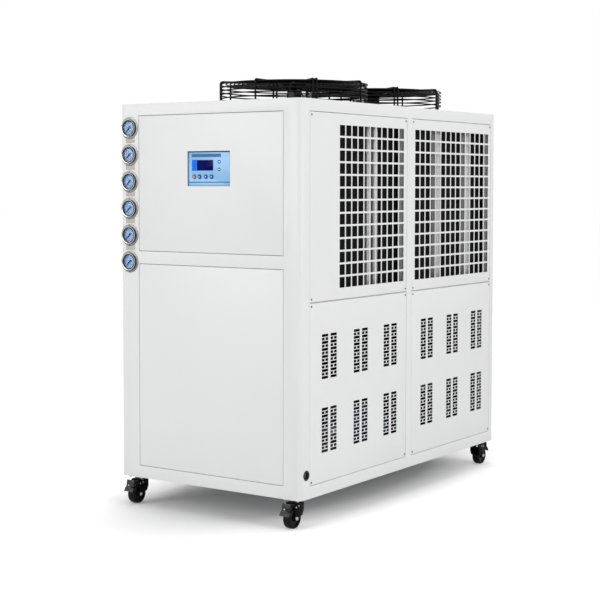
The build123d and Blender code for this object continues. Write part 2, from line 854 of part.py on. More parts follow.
def make_refrigerant_pipes():
    """Copper pipes: discharge to the coils, liquid line with its filter drier, and suction."""
    x, y = compressor_place()
    ex, ey = exchanger_place()
    low = pan_top() + exchanger_height
    top = pan_top() + compressor_height
    coil_x = cavity_x - coil_thickness / 2
    coil_low = base_z + coil_bottom
    header = coil_low - header_drop
    r = gas_pipe_radius
    out = x + gas_port_out
    discharge = pipe(r, [(out, y, top), (out, y, header), (coil_x, y, header),
                         (coil_x, y, coil_low - seat_gap)], gas_pipe_sides)
    back = x - gas_port_out
    far_y = ey - exchanger_port_out
    rise = low + suction_rise
    suction = pipe(r, [(ex, far_y, low), (ex, far_y, rise), (back, far_y, rise),
                       (back, y - gas_port_back, rise), (back, y - gas_port_back, top)], gas_pipe_sides)
    near_y = ey + exchanger_port_out
    liquid = pipe(r, [(ex, near_y, low), (ex, near_y, header), (-coil_x, near_y, header),
                      (-coil_x, near_y, coil_low - seat_gap)], gas_pipe_sides)
    drier_z = (low + header) / 2
    drier = rod(drier_radius, (ex, near_y, drier_z - drier_length / 2),
                (ex, near_y, drier_z + drier_length / 2), drier_sides)
    return Compound(children=[discharge, suction, liquid + drier])


def nipple(height, radius, inside, reach):
    """A rear connection: a round tube through the lower rear panel, with a locknut outside it."""
    x = rear_pipe_x()
    z = base_z + height
    tube = rod(radius, (x, rear_y - nipple_length, z), (x, rear_y + reach, z))
    tube += rod(radius + nut_overhang, (x, rear_y + seat_gap, z), (x, rear_y + nut_thickness, z), head_sides)
    return tube - rod(inside, (x, rear_y - nipple_length + sheet, z), (x, rear_y + reach + 1, z), round_sides)


def drain_stem_place():
    """The X and Y place of the drain cock's stem, and the height of the stem's top."""
    y = rear_y + nut_thickness + valve_body_length / 2
    return rear_pipe_x(), y, base_z + drain_height + valve_body_radius + valve_stem


def make_water_pipes():
    """Water pipes from the rear connections to the tank and the heat exchanger, and the drain cock."""
    x = rear_pipe_x()
    inner = rear_y - nipple_length
    tank_mid = rear_y - frame_depth - tank_rear_inset - tank_length / 2
    ex, ey = exchanger_place()
    ez = pan_top()
    r = water_pipe_radius - sheet
    inlet = nipple(inlet_height, water_pipe_radius, water_pipe_bore, nipple_reach)
    inlet += pipe(r, [(x, inner + sheet, base_z + inlet_height), (x, tank_mid, base_z + inlet_height),
                      (tank_left() - seat_gap, tank_mid, base_z + inlet_height)], water_pipe_sides)
    outlet = nipple(outlet_height, water_pipe_radius, water_pipe_bore, nipple_reach)
    outlet += pipe(r, [(x, inner + sheet, base_z + outlet_height),
                       (x, ey + exchanger_length / 2 + pipe_straight, base_z + outlet_height),
                       (ex, ey + exchanger_length / 2 + pipe_straight, base_z + outlet_height),
                       (ex, ey + exchanger_length / 2 + seat_gap, base_z + outlet_height)],
                   water_pipe_sides)
    px, py = pump_place()
    pz = ez + pump_axis_height
    bend_x = px - feed_offset
    bend_y = py - pump_volute_length - pipe_straight
    feed = pipe(r, [(ex + exchanger_width / 2 + seat_gap, ey, pz + feed_rise),
                    (bend_x, ey, pz + feed_rise), (bend_x, bend_y, pz), (px, bend_y, pz),
                    (px, py - pump_volute_length - seat_gap, pz)], water_pipe_sides)
    drain = nipple(drain_height, drain_pipe_radius, drain_pipe_bore, drain_reach)
    z = base_z + drain_height
    cock_x, cock_y, stem_top = drain_stem_place()
    body_start = rear_y + nut_thickness
    body_end = body_start + valve_body_length
    cock = rod(valve_body_radius, (x, body_start, z), (x, body_end, z), pin_sides)
    cock -= rod(drain_pipe_bore, (x, body_start, z), (x, body_end, z), round_sides)
    cock += rod(handle_stem_radius, (cock_x, cock_y, z + valve_body_radius * 0.8),
                (cock_x, cock_y, stem_top))
    drain_run = pipe(drain_pipe_radius - sheet, [(x, inner + sheet, z), (x, tank_mid, z),
                                                 (tank_left() - seat_gap, tank_mid, z)], gas_pipe_sides)
    return Compound(children=[inlet, outlet, feed, drain + cock + drain_run])


def make_drain_valve_handle():
    """The lever on the drain cock's stem, square to the pipe while the cock is shut."""
    x, y, stem_top = drain_stem_place()
    z = stem_top - handle_thickness
    lever = block(x - handle_width / 2, x + handle_length, y - handle_width / 2, y + handle_width / 2,
                  z, stem_top)
    return lever - bore(handle_stem_radius + running_gap, (x, y, z - 1), (x, y, stem_top + 1), pin_sides)


def caster_places():
    """Each caster's name, swivel X and Y, and the way it trails along Y."""
    x = side_x - caster_side_inset
    for name, side, end in (("front_left", -1, -1), ("front_right", 1, -1),
                            ("rear_left", -1, 1), ("rear_right", 1, 1)):
        y = front_y + caster_end_inset if end < 0 else rear_y - caster_end_inset
        yield name, side * x, y, end


crown_top = caster_height - caster_plate_thickness - raceway_height - seat_gap
crown_bottom = crown_top - crown_thickness
fork_inner = wheel_width / 2 + cheek_clearance
pedal_boss = pedal_pin_radius + pedal_thickness
pedal_pivot_height = crown_bottom - pedal_boss - pedal_pivot_gap


def make_caster_plate():
    """The bolted top plate with its ball raceway and kingpin. Swivel axis at X0 Y0, floor at Z0."""
    half = caster_plate_size / 2
    plate_low = caster_height - caster_plate_thickness
    plate = block(-half, half, -half, half, plate_low, caster_height)
    race_low = plate_low - raceway_height
    plate += rod(raceway_radius, (0, 0, plate_low), (0, 0, race_low), round_sides)
    return plate + rod(kingpin_radius, (0, 0, race_low), (0, 0, race_low - kingpin_below))


def make_caster_fork():
    """The pressed fork: a crown, two cheeks and the axle bolt. It trails along +Y."""
    profile = Polygon((-raceway_radius, crown_bottom), (-raceway_radius, crown_bottom - 8),
                      (caster_trail - cheek_foot, wheel_radius - cheek_foot),
                      (caster_trail + cheek_foot, wheel_radius - cheek_foot),
                      (raceway_radius + 6, crown_bottom - 8), (raceway_radius + 6, crown_bottom), align=None)
    cheek = extrude(Plane.YZ * profile, cheek_thickness)
    outer = fork_inner + cheek_thickness
    fork = block(-outer, outer, -raceway_radius, raceway_radius + 6, crown_bottom, crown_top)
    fork += Pos(fork_inner, 0, 0) * cheek
    fork += Pos(-outer, 0, 0) * cheek
    fork -= bore(kingpin_radius + running_gap, (0, 0, crown_bottom - 1), (0, 0, crown_top + 1), pin_sides)
    axle_end = outer + axle_head
    fork += rod(axle_radius, (-outer, caster_trail, wheel_radius), (outer, caster_trail, wheel_radius))
    for side in (-1, 1):
        fork += rod(axle_head_radius, (side * outer, caster_trail, wheel_radius),
                    (side * axle_end, caster_trail, wheel_radius), head_sides)
    pin_out = pedal_pivot_out
    fork += rod(pedal_pin_radius, (-outer, pin_out, pedal_pivot_height),
                (outer, pin_out, pedal_pivot_height))
    return fork


def make_caster_wheel():
    """A wheel with a rim, a thinner web and a hub on the axle."""
    half = wheel_width / 2
    y = caster_trail
    z = wheel_radius
    tread = RegularPolygon(wheel_radius, wheel_sides, major_radius=False, rotation=180.0 / wheel_sides)
    wheel = extrude(Plane(origin=(-half, y, z), x_dir=(0, 1, 0), z_dir=(1, 0, 0)) * tread, wheel_width)
    for side in (-1, 1):
        start = (side * half, y, z)
        end = (side * (half - wheel_recess), y, z)
        wheel -= (rod(wheel_radius - wheel_rim, start, end, wheel_recess_sides)
                  - rod(wheel_hub_radius, start, end, wheel_recess_sides))
    return wheel - bore(axle_radius + running_gap, (-half - 1, y, z), (half + 1, y, z), pin_sides)


def make_brake_pedal():
    """The brake pedal: a sloping tread over the wheel, pinned between the fork's cheeks."""
    slope = math.degrees(math.atan2(pedal_fall, pedal_run))
    length = math.hypot(pedal_run, pedal_fall)
    low = -pedal_thickness / 2
    neck = block(-pedal_neck_width / 2, pedal_neck_width / 2, 0, pedal_neck, low, low + pedal_thickness)
    tread = block(-pedal_width / 2, pedal_width / 2, pedal_neck, length, low, low + pedal_thickness)
    pedal = Rotation(-slope, 0, 0) * (neck + tread)
    pedal += rod(pedal_boss, (-pedal_neck_width / 2, 0, 0), (pedal_neck_width / 2, 0, 0), pin_sides)
    pedal -= bore(pedal_pin_radius + running_gap, (-pedal_width, 0, 0), (pedal_width, 0, 0), pin_sides)
    return Pos(0, pedal_pivot_out, pedal_pivot_height) * pedal


def save_casters():
    """The four casters: plates as one node, and each fork, wheel and pedal as its own."""
    plates = []
    for name, x, y, end in caster_places():
        place = Pos(x, y, 0) * Rotation(0, 0, 0 if end > 0 else 180)
        plates.append(place * make_caster_plate())
        save(place * make_caster_fork(), f"caster_fork_{name}")
        save(place * make_caster_wheel(), f"caster_wheel_{name}")
        save(place * make_brake_pedal(), f"brake_pedal_{name}")
    save(Compound(children=plates), "caster_plates")


save(make_cabinet_frame(), "cabinet_frame")
save(make_base_pan(), "base_pan")
save(make_top_cover(), "top_cover")
for panel_node, panel in make_side_panels().items():
    save(panel, panel_node)
rear_upper, rear_lower = make_rear_panels()
save(rear_upper, "rear_upper_panel")
save(rear_lower, "rear_lower_panel")
save(make_panel_screws(), "panel_screws")
save(make_cable_grommet(), "cable_grommet")
save(door_with_pin_holes(upper_door_bottom, upper_door_top) - controller_box(0, -1, panel_return),
     "front_upper_door")
save(door_with_pin_holes(front_bottom_rail, front_mid_rail_height), "front_lower_door")
save(make_door_hinge_pins(), "door_hinge_pins")
save(make_controller_panel(), "controller_panel")
save(display_box(controller_recess - display_proud, controller_recess + 2 * sheet), "controller_display")
for key_index, key_name in enumerate(("power_key", "up_key", "down_key", "set_key")):
    save(make_key(key_index), key_name)
gauges = range(gauge_count)
save(Compound(children=[make_gauge_case(index) for index in gauges]), "gauge_cases")
save(Compound(children=[make_gauge_lens(index) for index in gauges]), "gauge_lenses")
for gauge in gauges:
    save(make_gauge_needle(gauge), f"gauge_needle_{gauge + 1}")
save(make_gauge_label_plates(), "gauge_label_plates")
for fan, fan_name in enumerate(("front", "rear")):
    save(make_fan_guard(fan), f"fan_guard_{fan_name}")
    save(make_fan_impeller(fan), f"fan_impeller_{fan_name}")
save(Compound(children=[make_fan_motor(fan) for fan in range(2)]), "fan_motors")
save(make_condenser_coils(), "condenser_coils")
save(make_electrical_panel(), "electrical_panel")
save(make_water_tank(), "water_tank")
save(make_compressor(), "compressor")
save(make_evaporator(), "evaporator")
save(make_water_pump(), "water_pump")
save(make_refrigerant_pipes(), "refrigerant_pipes")
save(make_water_pipes(), "water_pipes")
save(make_drain_valve_handle(), "drain_valve_handle")
save_casters()
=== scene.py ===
import math

import bmesh
import bpy
from mathutils import Matrix, Vector


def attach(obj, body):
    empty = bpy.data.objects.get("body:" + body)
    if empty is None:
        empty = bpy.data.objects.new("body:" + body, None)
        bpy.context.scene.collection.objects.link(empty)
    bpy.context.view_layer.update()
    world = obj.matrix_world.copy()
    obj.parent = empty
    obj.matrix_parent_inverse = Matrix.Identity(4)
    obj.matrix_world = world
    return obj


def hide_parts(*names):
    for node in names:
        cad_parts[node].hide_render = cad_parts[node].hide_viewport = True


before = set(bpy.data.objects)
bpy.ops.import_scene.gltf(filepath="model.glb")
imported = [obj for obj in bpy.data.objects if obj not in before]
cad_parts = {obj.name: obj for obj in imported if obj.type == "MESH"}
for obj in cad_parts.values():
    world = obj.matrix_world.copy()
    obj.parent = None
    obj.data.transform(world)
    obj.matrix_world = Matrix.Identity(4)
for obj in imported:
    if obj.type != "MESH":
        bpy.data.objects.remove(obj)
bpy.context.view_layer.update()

# Cabinet frame
# Posts and rails folded from 2 mm steel sheet, welded at the corners, ground flush and powder coated
# off-white in one piece. The outer corners are rolled, so the skin has no seams between its faces.
frame_edge = 0.0008
relief_distance = 0.001
edge_angle = 30.0
weld_distance = 0.00002
flat_angle = 1.0


def group_sockets(group, inputs, outputs):
    """Name a node group's inputs, given as (name, kind, value), and its outputs, given as (name, kind)."""
    for name, kind, value in inputs:
        socket = group.interface.new_socket(name, in_out="INPUT", socket_type=f"NodeSocket{kind}")
        if value is not None:
            socket.default_value = value
    for name, kind in outputs:
        group.interface.new_socket(name, in_out="OUTPUT", socket_type=f"NodeSocket{kind}")


def socket_of(sockets, key):
    """A node's socket by its name, or by its number where two share a name."""
    return sockets[int(key) if key.isdigit() else key]


def wired(tree, parts, wires, **nodes):
    """Add nodes, given as name: kind or name: (kind, settings), and join them by wires.

    A wire is written "node.socket > node.socket". A setting in small letters is the node's own, and
    any other is the value of one of its inputs.
    """
    for name, part in parts.items():
        kind, settings = (part, {}) if isinstance(part, str) else part
        node = nodes[name] = tree.nodes.new(kind if "Node" in kind else f"GeometryNode{kind}")
        for key, value in settings.items():
            if key.islower():
                setattr(node, key, value)
            else:
                socket_of(node.inputs, key).default_value = value
    for wire in wires:
        start, end = (point.split(".", 1) for point in wire.split(" > "))
        tree.links.new(socket_of(nodes[start[0]].outputs, start[1]), socket_of(nodes[end[0]].inputs, end[1]))
    return nodes


def coat_skin_group():
    """The skin of a sprayed finish: fine orange peel as a height, and a broad, faint change of tone."""
    group = bpy.data.node_groups.new("coat_skin", "ShaderNodeTree")
    group_sockets(group, [("Peel Scale", "Float", 420.0), ("Tone Scale", "Float", 3.0)],
                  [("Height", "Float"), ("Tone", "Float")])
    wired(group, {"given": "NodeGroupInput", "result": "NodeGroupOutput",
                  "place": "ShaderNodeTexCoord", "peel": ("ShaderNodeTexNoise", {"Detail": 2.0}),
                  "tone": ("ShaderNodeTexNoise", {"Detail": 4.0})},
          ["place.Object > peel.Vector", "given.Peel Scale > peel.Scale", "peel.Fac > result.Height",
           "place.Object > tone.Vector", "given.Tone Scale > tone.Scale", "tone.Fac > result.Tone"])
    return group


coat_skin = coat_skin_group()


def finish_material(name, dark, light, roughness, metallic=0.0, peel=420.0, bump=0.06, tone=3.0,
                    coat=0.0, specular=0.5):
    """A sprayed, moulded or metal finish whose tone and gloss vary between two values over coat_skin."""
    material = bpy.data.materials.new(name)
    material.use_nodes = True
    shader = material.node_tree.nodes["Principled BSDF"]
    for key, value in (("Metallic", metallic), ("Coat Weight", coat), ("Specular IOR Level", specular)):
        shader.inputs[key].default_value = value
    wired(material.node_tree, {
        "skin": ("ShaderNodeGroup", {"node_tree": coat_skin, "Peel Scale": peel, "Tone Scale": tone}),
        "colour": ("ShaderNodeMix", {"data_type": "RGBA", "A": (*dark, 1.0), "B": (*light, 1.0)}),
        "gloss": ("ShaderNodeMapRange", {"To Min": roughness[0], "To Max": roughness[1]}),
        "relief": ("ShaderNodeBump", {"Strength": bump, "Distance": relief_distance})},
        ["skin.Tone > colour.Factor", "colour.Result > shader.Base Color", "skin.Tone > gloss.Value",
         "gloss.Result > shader.Roughness", "skin.Height > relief.Height", "relief.Normal > shader.Normal"],
        shader=shader)
    return material


powder_coat = finish_material("powder_coat_off_white", (0.775, 0.78, 0.785), (0.81, 0.812, 0.815),
                              (0.36, 0.44), peel=380.0, bump=0.05)


def mesh_object(name, mesh, material=None, sharp=edge_angle):
    """Put a mesh in the scene, smooth except over its sharp edges."""
    piece = bpy.data.objects.new(name, mesh)
    bpy.context.scene.collection.objects.link(piece)
    if material is not None:
        mesh.materials.clear()
        mesh.materials.append(material)
    if sharp is not None and mesh.polygons:
        mesh.shade_smooth()
        mesh.set_sharp_from_angle(angle=math.radians(sharp))
    return piece


def made_plain(piece, material=None, sharp=edge_angle):
    """Turn a piece with its modifiers into a plain mesh in the same object."""
    bpy.context.view_layer.update()
    evaluated = piece.evaluated_get(bpy.context.evaluated_depsgraph_get())
    mesh = bpy.data.meshes.new_from_object(evaluated)
    piece.modifiers.clear()
    old = piece.data
    piece.data = mesh
    bpy.data.meshes.remove(old)
    mesh.name = piece.name
    if material is not None:
        mesh.materials.clear()
        mesh.materials.append(material)
        mesh.polygons.foreach_set("material_index", [0] * len(mesh.polygons))
    if sharp is not None:
        mesh.shade_smooth()
        mesh.set_sharp_from_angle(angle=math.radians(sharp))
    return piece


def fitted(piece, body, slot, *nodes):
    """Let a piece ride on its body in place of CAD nodes; its slot is not used."""
    if nodes:
        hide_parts(*nodes)
    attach(piece, body)
    return piece


def softened(piece, width, material=None):
    """Round a piece's sharp edges, and keep the plain result."""
    bevel = piece.modifiers.new("edge", "BEVEL")
    bevel.width = width
    bevel.segments = 2
    bevel.limit_method = "ANGLE"
    bevel.angle_limit = math.radians(edge_angle)
    bevel.use_clamp_overlap = True
    bevel.harden_normals = False
    return made_plain(piece, material)


def meshed(shape, name):
    """A mesh of what was built in a bmesh."""
    mesh = bpy.data.meshes.new(name)
    shape.to_mesh(mesh)
    shape.free()
    return mesh


def sheet_work(node, name, body, material, slot, edge):
    """A CAD node's sheet work, its loose triangles joined, with softened edges and a finish."""
    shape = bmesh.new()
    shape.from_mesh(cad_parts[node].data)
    bmesh.ops.remove_doubles(shape, verts=shape.verts, dist=weld_distance)
    bmesh.ops.dissolve_limit(shape, angle_limit=math.radians(flat_angle), verts=shape.verts,
                             edges=shape.edges, delimit={"NORMAL"})
    mesh = meshed(shape, node)
    for layer in list(mesh.uv_layers):
        mesh.uv_layers.remove(layer)
    return fitted(softened(mesh_object(name, mesh, material), edge, material), body, slot, node)


sheet_work("cabinet_frame", "frame_skin", "cabinet", powder_coat, "powder_coat", frame_edge)

# Base pan
# Folded galvanised sheet that closes the floor between the bottom rails and carries the machines.
# Its lips are turned up and spot welded, and the zinc keeps its grey bloom.
pan_edge = 0.0006
galvanised = finish_material("galvanised_sheet", (0.42, 0.43, 0.44), (0.58, 0.59, 0.60), (0.38, 0.55),
                             metallic=0.85, peel=60.0, bump=0.04, tone=38.0)
sheet_work("base_pan", "base_pan_sheet", "cabinet", galvanised, "galvanised_sheet", pan_edge)

# Top cover
# The roof sheet, powder coated like the frame. A collar is rolled down around each fan's opening,
# so that the guard's feet stand on a stiff ring.
front_y = -0.782
rear_y = 0.758
side_x = 0.430
top_z = 1.570
fan_radius = 0.284
fan_centres = (-0.204, 0.413)
collar_depth = 0.050
roof_sheet = 0.002
roof_edge = 0.0143
cut_reach = 0.1
opening_sides = 96
axis_turns = {"Z": Matrix.Identity(3), "Y": Matrix.Rotation(math.radians(-90), 3, "X"),
              "X": Matrix.Rotation(math.radians(90), 3, "Y")}


def turned(profile, segments, centre=(0, 0, 0), axis="Z"):
    """A mesh turned from a closed outline of (radius, along) points about an axis through centre."""
    shape = bmesh.new()
    rings = []
    for k in range(segments):
        angle = 2 * math.pi * k / segments
        rings.append([shape.verts.new((radius * math.cos(angle), radius * math.sin(angle), along))
                      for radius, along in profile])
    count = len(profile)
    for k, here in enumerate(rings):
        there = rings[(k + 1) % segments]
        for j in range(count):
            shape.faces.new([here[j], there[j], there[(j + 1) % count], here[(j + 1) % count]])
    bmesh.ops.remove_doubles(shape, verts=shape.verts, dist=1e-7)
    shape.faces.ensure_lookup_table()
    loose = [face for face in shape.faces if face.calc_area() < 1e-12]
    bmesh.ops.delete(shape, geom=loose, context="FACES")
    bmesh.ops.recalc_face_normals(shape, faces=shape.faces)
    placed = Matrix.Translation(centre) @ axis_turns[axis].to_4x4()
    bmesh.ops.transform(shape, matrix=placed, verts=shape.verts)
    return meshed(shape, "turned")


def add_box(shape, low, high):
    """Add the box between two corners to a bmesh."""
    middle = [(a + b) / 2 for a, b in zip(low, high)]
    size = [b - a for a, b in zip(low, high)]
    bmesh.ops.create_cube(shape, size=1.0, matrix=Matrix.Translation(middle) @ Matrix.Diagonal((*size, 1.0)))


def boxes_mesh(boxes):
    """One mesh of boxes, each given by its lowest and highest corner."""
    shape = bmesh.new()
    for low, high in boxes:
        add_box(shape, low, high)
    return meshed(shape, "boxes")


def joined(name, pieces, material=None, sharp=edge_angle):
    """One piece made of several meshes, which keep their own materials unless one is given."""
    shape = bmesh.new()
    materials = []
    for mesh in pieces:
        start = len(shape.faces)
        shape.from_mesh(mesh)
        shape.faces.ensure_lookup_table()
        own = list(mesh.materials)
        for face in shape.faces[start:]:
            if own:
                wanted = own[min(face.material_index, len(own) - 1)]
                if wanted not in materials:
                    materials.append(wanted)
                face.material_index = materials.index(wanted)
        bpy.data.meshes.remove(mesh)
    whole = meshed(shape, name)
    for own in materials:
        whole.materials.append(own)
    return mesh_object(name, whole, material, sharp)


def cut_through(piece, meshes):
    """Cut closed shapes out of a piece."""
    cutters = []
    for mesh in meshes:
        cut = piece.modifiers.new("cut", "BOOLEAN")
        cut.operation = "DIFFERENCE"
        cut.object = mesh_object("cutter", mesh)
        cutters.append(cut.object)
    made_plain(piece)
    for cutter in cutters:
        bpy.data.objects.remove(cutter)
    return piece


def bored(radius, reach, sides, centre, axis="Z"):
    """A round bar about an axis, as a pin or to cut a hole with."""
    return turned([(0, -reach), (radius, -reach), (radius, reach), (0, reach)], sides, centre, axis)


collar_outline = [(fan_radius, 0), (fan_radius, -collar_depth), (fan_radius + roof_sheet, -collar_depth),
                  (fan_radius + roof_sheet, -0.004), (fan_radius + 0.006, -roof_sheet),
                  (fan_radius + 0.0006, 0.0)]
roof = mesh_object("roof_plate", boxes_mesh([((-side_x + roof_edge, front_y + roof_edge, top_z - roof_sheet),
                                              (side_x - roof_edge, rear_y - roof_edge, top_z))]))
cut_through(roof, [bored(fan_radius, cut_reach, opening_sides, (0, y, top_z)) for y in fan_centres])
roof_parts = [roof.data.copy()]
bpy.data.objects.remove(roof)
roof_parts += [turned(collar_outline, opening_sides, (0, y, top_z)) for y in fan_centres]
fitted(joined("top_cover_sheet", roof_parts, powder_coat), "cabinet", "powder_coat", "top_cover")

# Side panels
# Eight trays folded from 1.6 mm sheet and powder coated. The upper ones are punched with rows of
# upright windows in front of the coils, and the lower ones with blocks of short vent slots. Inside
# they are painted near black: painted shade for the dark cabinet seen through the windows and slots.
base_z = 0.110
bay = 0.700
panel_sheet = 0.0016
panel_seam = 0.002
panel_return = 0.012
bend_radius = 0.0022
front_bay = front_y + 0.056
rear_bay = front_bay + bay + 0.040
seam_z = base_z + 0.717
grille_top_z = base_z + 1.415
vent_low_z = base_z + 0.045
window_size = (0.0370, 0.040)
window_pitch = (0.04375, 0.0474)
window_margin = (0.026, 0.0445)
window_rows = 13
slot_size = (0.043, 0.0104)
slot_pitch = 0.0130
slot_rows = 13
slot_bridge = 0.0052
slot_column_pitch = 0.0585
slot_group_pitch = 0.221
slot_blocks = (base_z + 0.157, base_z + 0.4305)
cutter_depth = 0.02
# Near black: painted shade of the cabinet's inside, laid on the panels' inner faces.
interior_shade_coat = finish_material("interior_shade_paint", (0.050, 0.052, 0.054), (0.070, 0.072, 0.074), (0.45, 0.60),
                            peel=300.0, bump=0.05, specular=0.3)


def repeat_tree(name, inputs, parts, wires, shape):
    """A geometry node tree with named inputs, whose shape gets the finish at its end."""
    tree = bpy.data.node_groups.new(name, "GeometryNodeTree")
    group_sockets(tree, [("Mesh", "Geometry", None), *inputs, ("Finish", "Material", None)],
                  [("Mesh", "Geometry")])
    parts = {"given": "NodeGroupInput", "result": "NodeGroupOutput", **parts,
             "coat": "SetMaterial"}
    wired(tree, parts, [*wires, f"{shape} > coat.Geometry", "given.Finish > coat.Material",
                        "coat.Geometry > result.Mesh"])
    return tree


def run_tree(piece, tree, values, material, sharp=edge_angle):
    """Run a geometry node tree on a piece with its inputs set by name, and keep the plain result."""
    modifier = piece.modifiers.new(tree.name, "NODES")
    modifier.node_group = tree
    values = {**values, "Finish": material}
    for item in tree.interface.items_tree:
        if item.item_type == "SOCKET" and item.in_out == "INPUT" and item.name in values:
            modifier[item.identifier] = values[item.name]
    return made_plain(piece, material, sharp)


def punch_tree():
    """Punch rows and columns of windows through a panel, in groups and blocks that repeat."""
    inputs = [("First", "Vector", (0, 0, 0)), ("Window", "Vector", (0.02, 0.02, 0.02))]
    parts = {"cube": "MeshCube", "place": "Transform", "real": "RealizeInstances",
             "punch": ("MeshBoolean", {"operation": "DIFFERENCE"})}
    wires = ["given.Window > cube.Size"]
    cutters = "cube.Mesh"
    for level in ("Row", "Half", "Column", "Group", "Block"):
        inputs += [(f"{level} Count", "Int", 1), (f"{level} Step", "Vector", (0, 0, 0))]
        line, spread = f"{level} line", f"{level} spread"
        parts[line] = ("MeshLine", {"mode": "OFFSET"})
        parts[spread] = "InstanceOnPoints"
        wires += [f"given.{level} Count > {line}.Count", f"given.{level} Step > {line}.Offset",
                  f"{line}.Mesh > {spread}.Points", f"{cutters} > {spread}.Instance"]
        cutters = f"{spread}.Instances"
    wires += [f"{cutters} > place.Geometry", "given.First > place.Translation",
              "place.Geometry > real.Geometry", "given.Mesh > punch.Mesh 1", "real.Geometry > punch.Mesh 2"]
    return repeat_tree("punched_windows", inputs, parts, wires, "punch.Mesh")


punched_windows = punch_tree()


def folded_tray(name, low, high, open_axis, open_side):
    """A sheet tray between two corners, open at its back, with rolled bends and its thickness inward."""
    shape = bmesh.new()
    add_box(shape, low, high)
    back = [face for face in shape.faces if face.normal[open_axis] * open_side > 0.5]
    bmesh.ops.delete(shape, geom=back, context="FACES")
    rim = [edge for edge in shape.edges if not edge.is_boundary]
    bmesh.ops.bevel(shape, geom=rim, offset=bend_radius, segments=3, profile=0.5, affect="EDGES",
                    clamp_overlap=True)
    bmesh.ops.recalc_face_normals(shape, faces=shape.faces)
    piece = mesh_object(name, meshed(shape, name))
    middle = sum((Vector(low), Vector(high)), Vector()) / 2
    outward = sum((face.normal.dot(face.center - middle) * face.area for face in piece.data.polygons))
    if outward < 0:
        piece.data.flip_normals()
    wall = piece.modifiers.new("sheet", "SOLIDIFY")
    wall.thickness = panel_sheet
    wall.offset = -1.0
    return made_plain(piece)


def shade_painted_inside(tray, axis, outward):
    """Paint the faces of a panel that look into the cabinet near black: painted shade of the cabinet's inside.
    """
    tray.data.materials.append(interior_shade_coat)
    for face in tray.data.polygons:
        if face.normal[axis] * outward < -0.5:
            face.material_index = 1
    return tray


def side_tray(name, side, bay_y, low_z, high_z):
    """A side panel's tray, before it is punched."""
    near, far = sorted((side * side_x, side * (side_x - panel_return)))
    return folded_tray(name, (near, bay_y + panel_seam, low_z + panel_seam),
                       (far, bay_y + bay - panel_seam, high_z - panel_seam), 0, -side)


short_slot = (slot_size[0] - slot_bridge) / 2
half_step = short_slot + slot_bridge
for side, side_name in ((1, "right"), (-1, "left")):
    for bay_y, bay_name, columns, shift in ((front_bay, "front", 11, 0.002), (rear_bay, "rear", 15, 0.0)):
        panel_name = f"{side_name}_{bay_name}"
        grille = side_tray(f"{panel_name}_grille_panel", side, bay_y, seam_z, grille_top_z)
        run_tree(grille, punched_windows, {
            "First": (side * side_x, bay_y + bay - window_margin[0] - window_size[0] / 2,
                      grille_top_z - window_margin[1] - window_size[1] / 2),
            "Window": (cutter_depth, *window_size),
            "Row Count": window_rows, "Row Step": (0, 0, -window_pitch[1]),
            "Column Count": columns, "Column Step": (0, -window_pitch[0], 0)}, powder_coat)
        # The grille's inner faces get the near-black painted shade.
        fitted(shade_painted_inside(grille, 0, side), "cabinet", "powder_coat", f"{panel_name}_grille")
        vents = side_tray(f"{panel_name}_vent_sheet", side, bay_y, vent_low_z, seam_z)
        first_y = bay_y + bay / 2 + shift - slot_group_pitch - slot_column_pitch / 2
        for offset, length, halves, first_row, rows in ((0.0, slot_size[0], 1, 0, (slot_rows + 1) // 2),
                                                        (-half_step / 2, short_slot, 2, 1, slot_rows // 2)):
            run_tree(vents, punched_windows, {
                "First": (side * side_x, first_y + offset,
                          slot_blocks[0] + slot_size[1] / 2 + first_row * slot_pitch),
                "Window": (cutter_depth, length, slot_size[1]),
                "Row Count": rows, "Row Step": (0, 0, 2 * slot_pitch),
                "Half Count": halves, "Half Step": (0, half_step, 0),
                "Column Count": 2, "Column Step": (0, slot_column_pitch, 0),
                "Group Count": 3, "Group Step": (0, slot_group_pitch, 0),
                "Block Count": 2, "Block Step": (0, 0, slot_blocks[1] - slot_blocks[0])}, powder_coat)
        # So do the vent sheet's inner faces.
        fitted(shade_painted_inside(vents, 0, side), "cabinet", "powder_coat", f"{panel_name}_vent_panel")

# Rear panels
# Two plain trays like the side ones, powder coated. The lower one has holes for the water connections,
# and both are screwed at their corners.
rear_stile = 0.060
pipe_x = -0.260
water_ports = (0.630, 0.490)
drain_port = 0.220
port_cut = 0.05
pipe_holes = (*((z, 0.0242) for z in water_ports), (drain_port, 0.0165))
for tray_name, node, low_z, high_z in (("rear_upper_sheet", "rear_upper_panel", seam_z, grille_top_z),
                                       ("rear_lower_sheet", "rear_lower_panel", vent_low_z, seam_z)):
    half_width = side_x - rear_stile - panel_seam
    tray = folded_tray(tray_name, (-half_width, rear_y - panel_return, low_z + panel_seam),
                       (half_width, rear_y, high_z - panel_seam), 1, -1)
    if node == "rear_lower_panel":
        cut_through(tray, [bored(radius, port_cut, 40, (pipe_x, rear_y, z), "Y") for z, radius in pipe_holes])
    tray.data.materials.clear()
    tray.data.materials.append(powder_coat)
    # The rear trays' inner faces get the near-black painted shade too.
    fitted(shade_painted_inside(tray, 1, 1), "cabinet", "powder_coat", node)

# Panel screws
# Zinc-plated pan-head machine screws with a cross recess, one at each corner of every screwed panel.
# Their heads stand 1.8 mm proud of the sheet.
panel_screw = (0.0042, 0.0018, 0.0011)
screw_inset_side = 0.011
screw_inset_end = 0.013
recess_depth = 0.0016
zinc_plated = finish_material("zinc_plated", (0.10, 0.10, 0.098), (0.18, 0.178, 0.172), (0.34, 0.46),
                              metallic=0.9, peel=900.0, bump=0.05, tone=160.0)
point_facing = ("InputNamedAttribute", {"data_type": "FLOAT_VECTOR", "Name": "facing"})


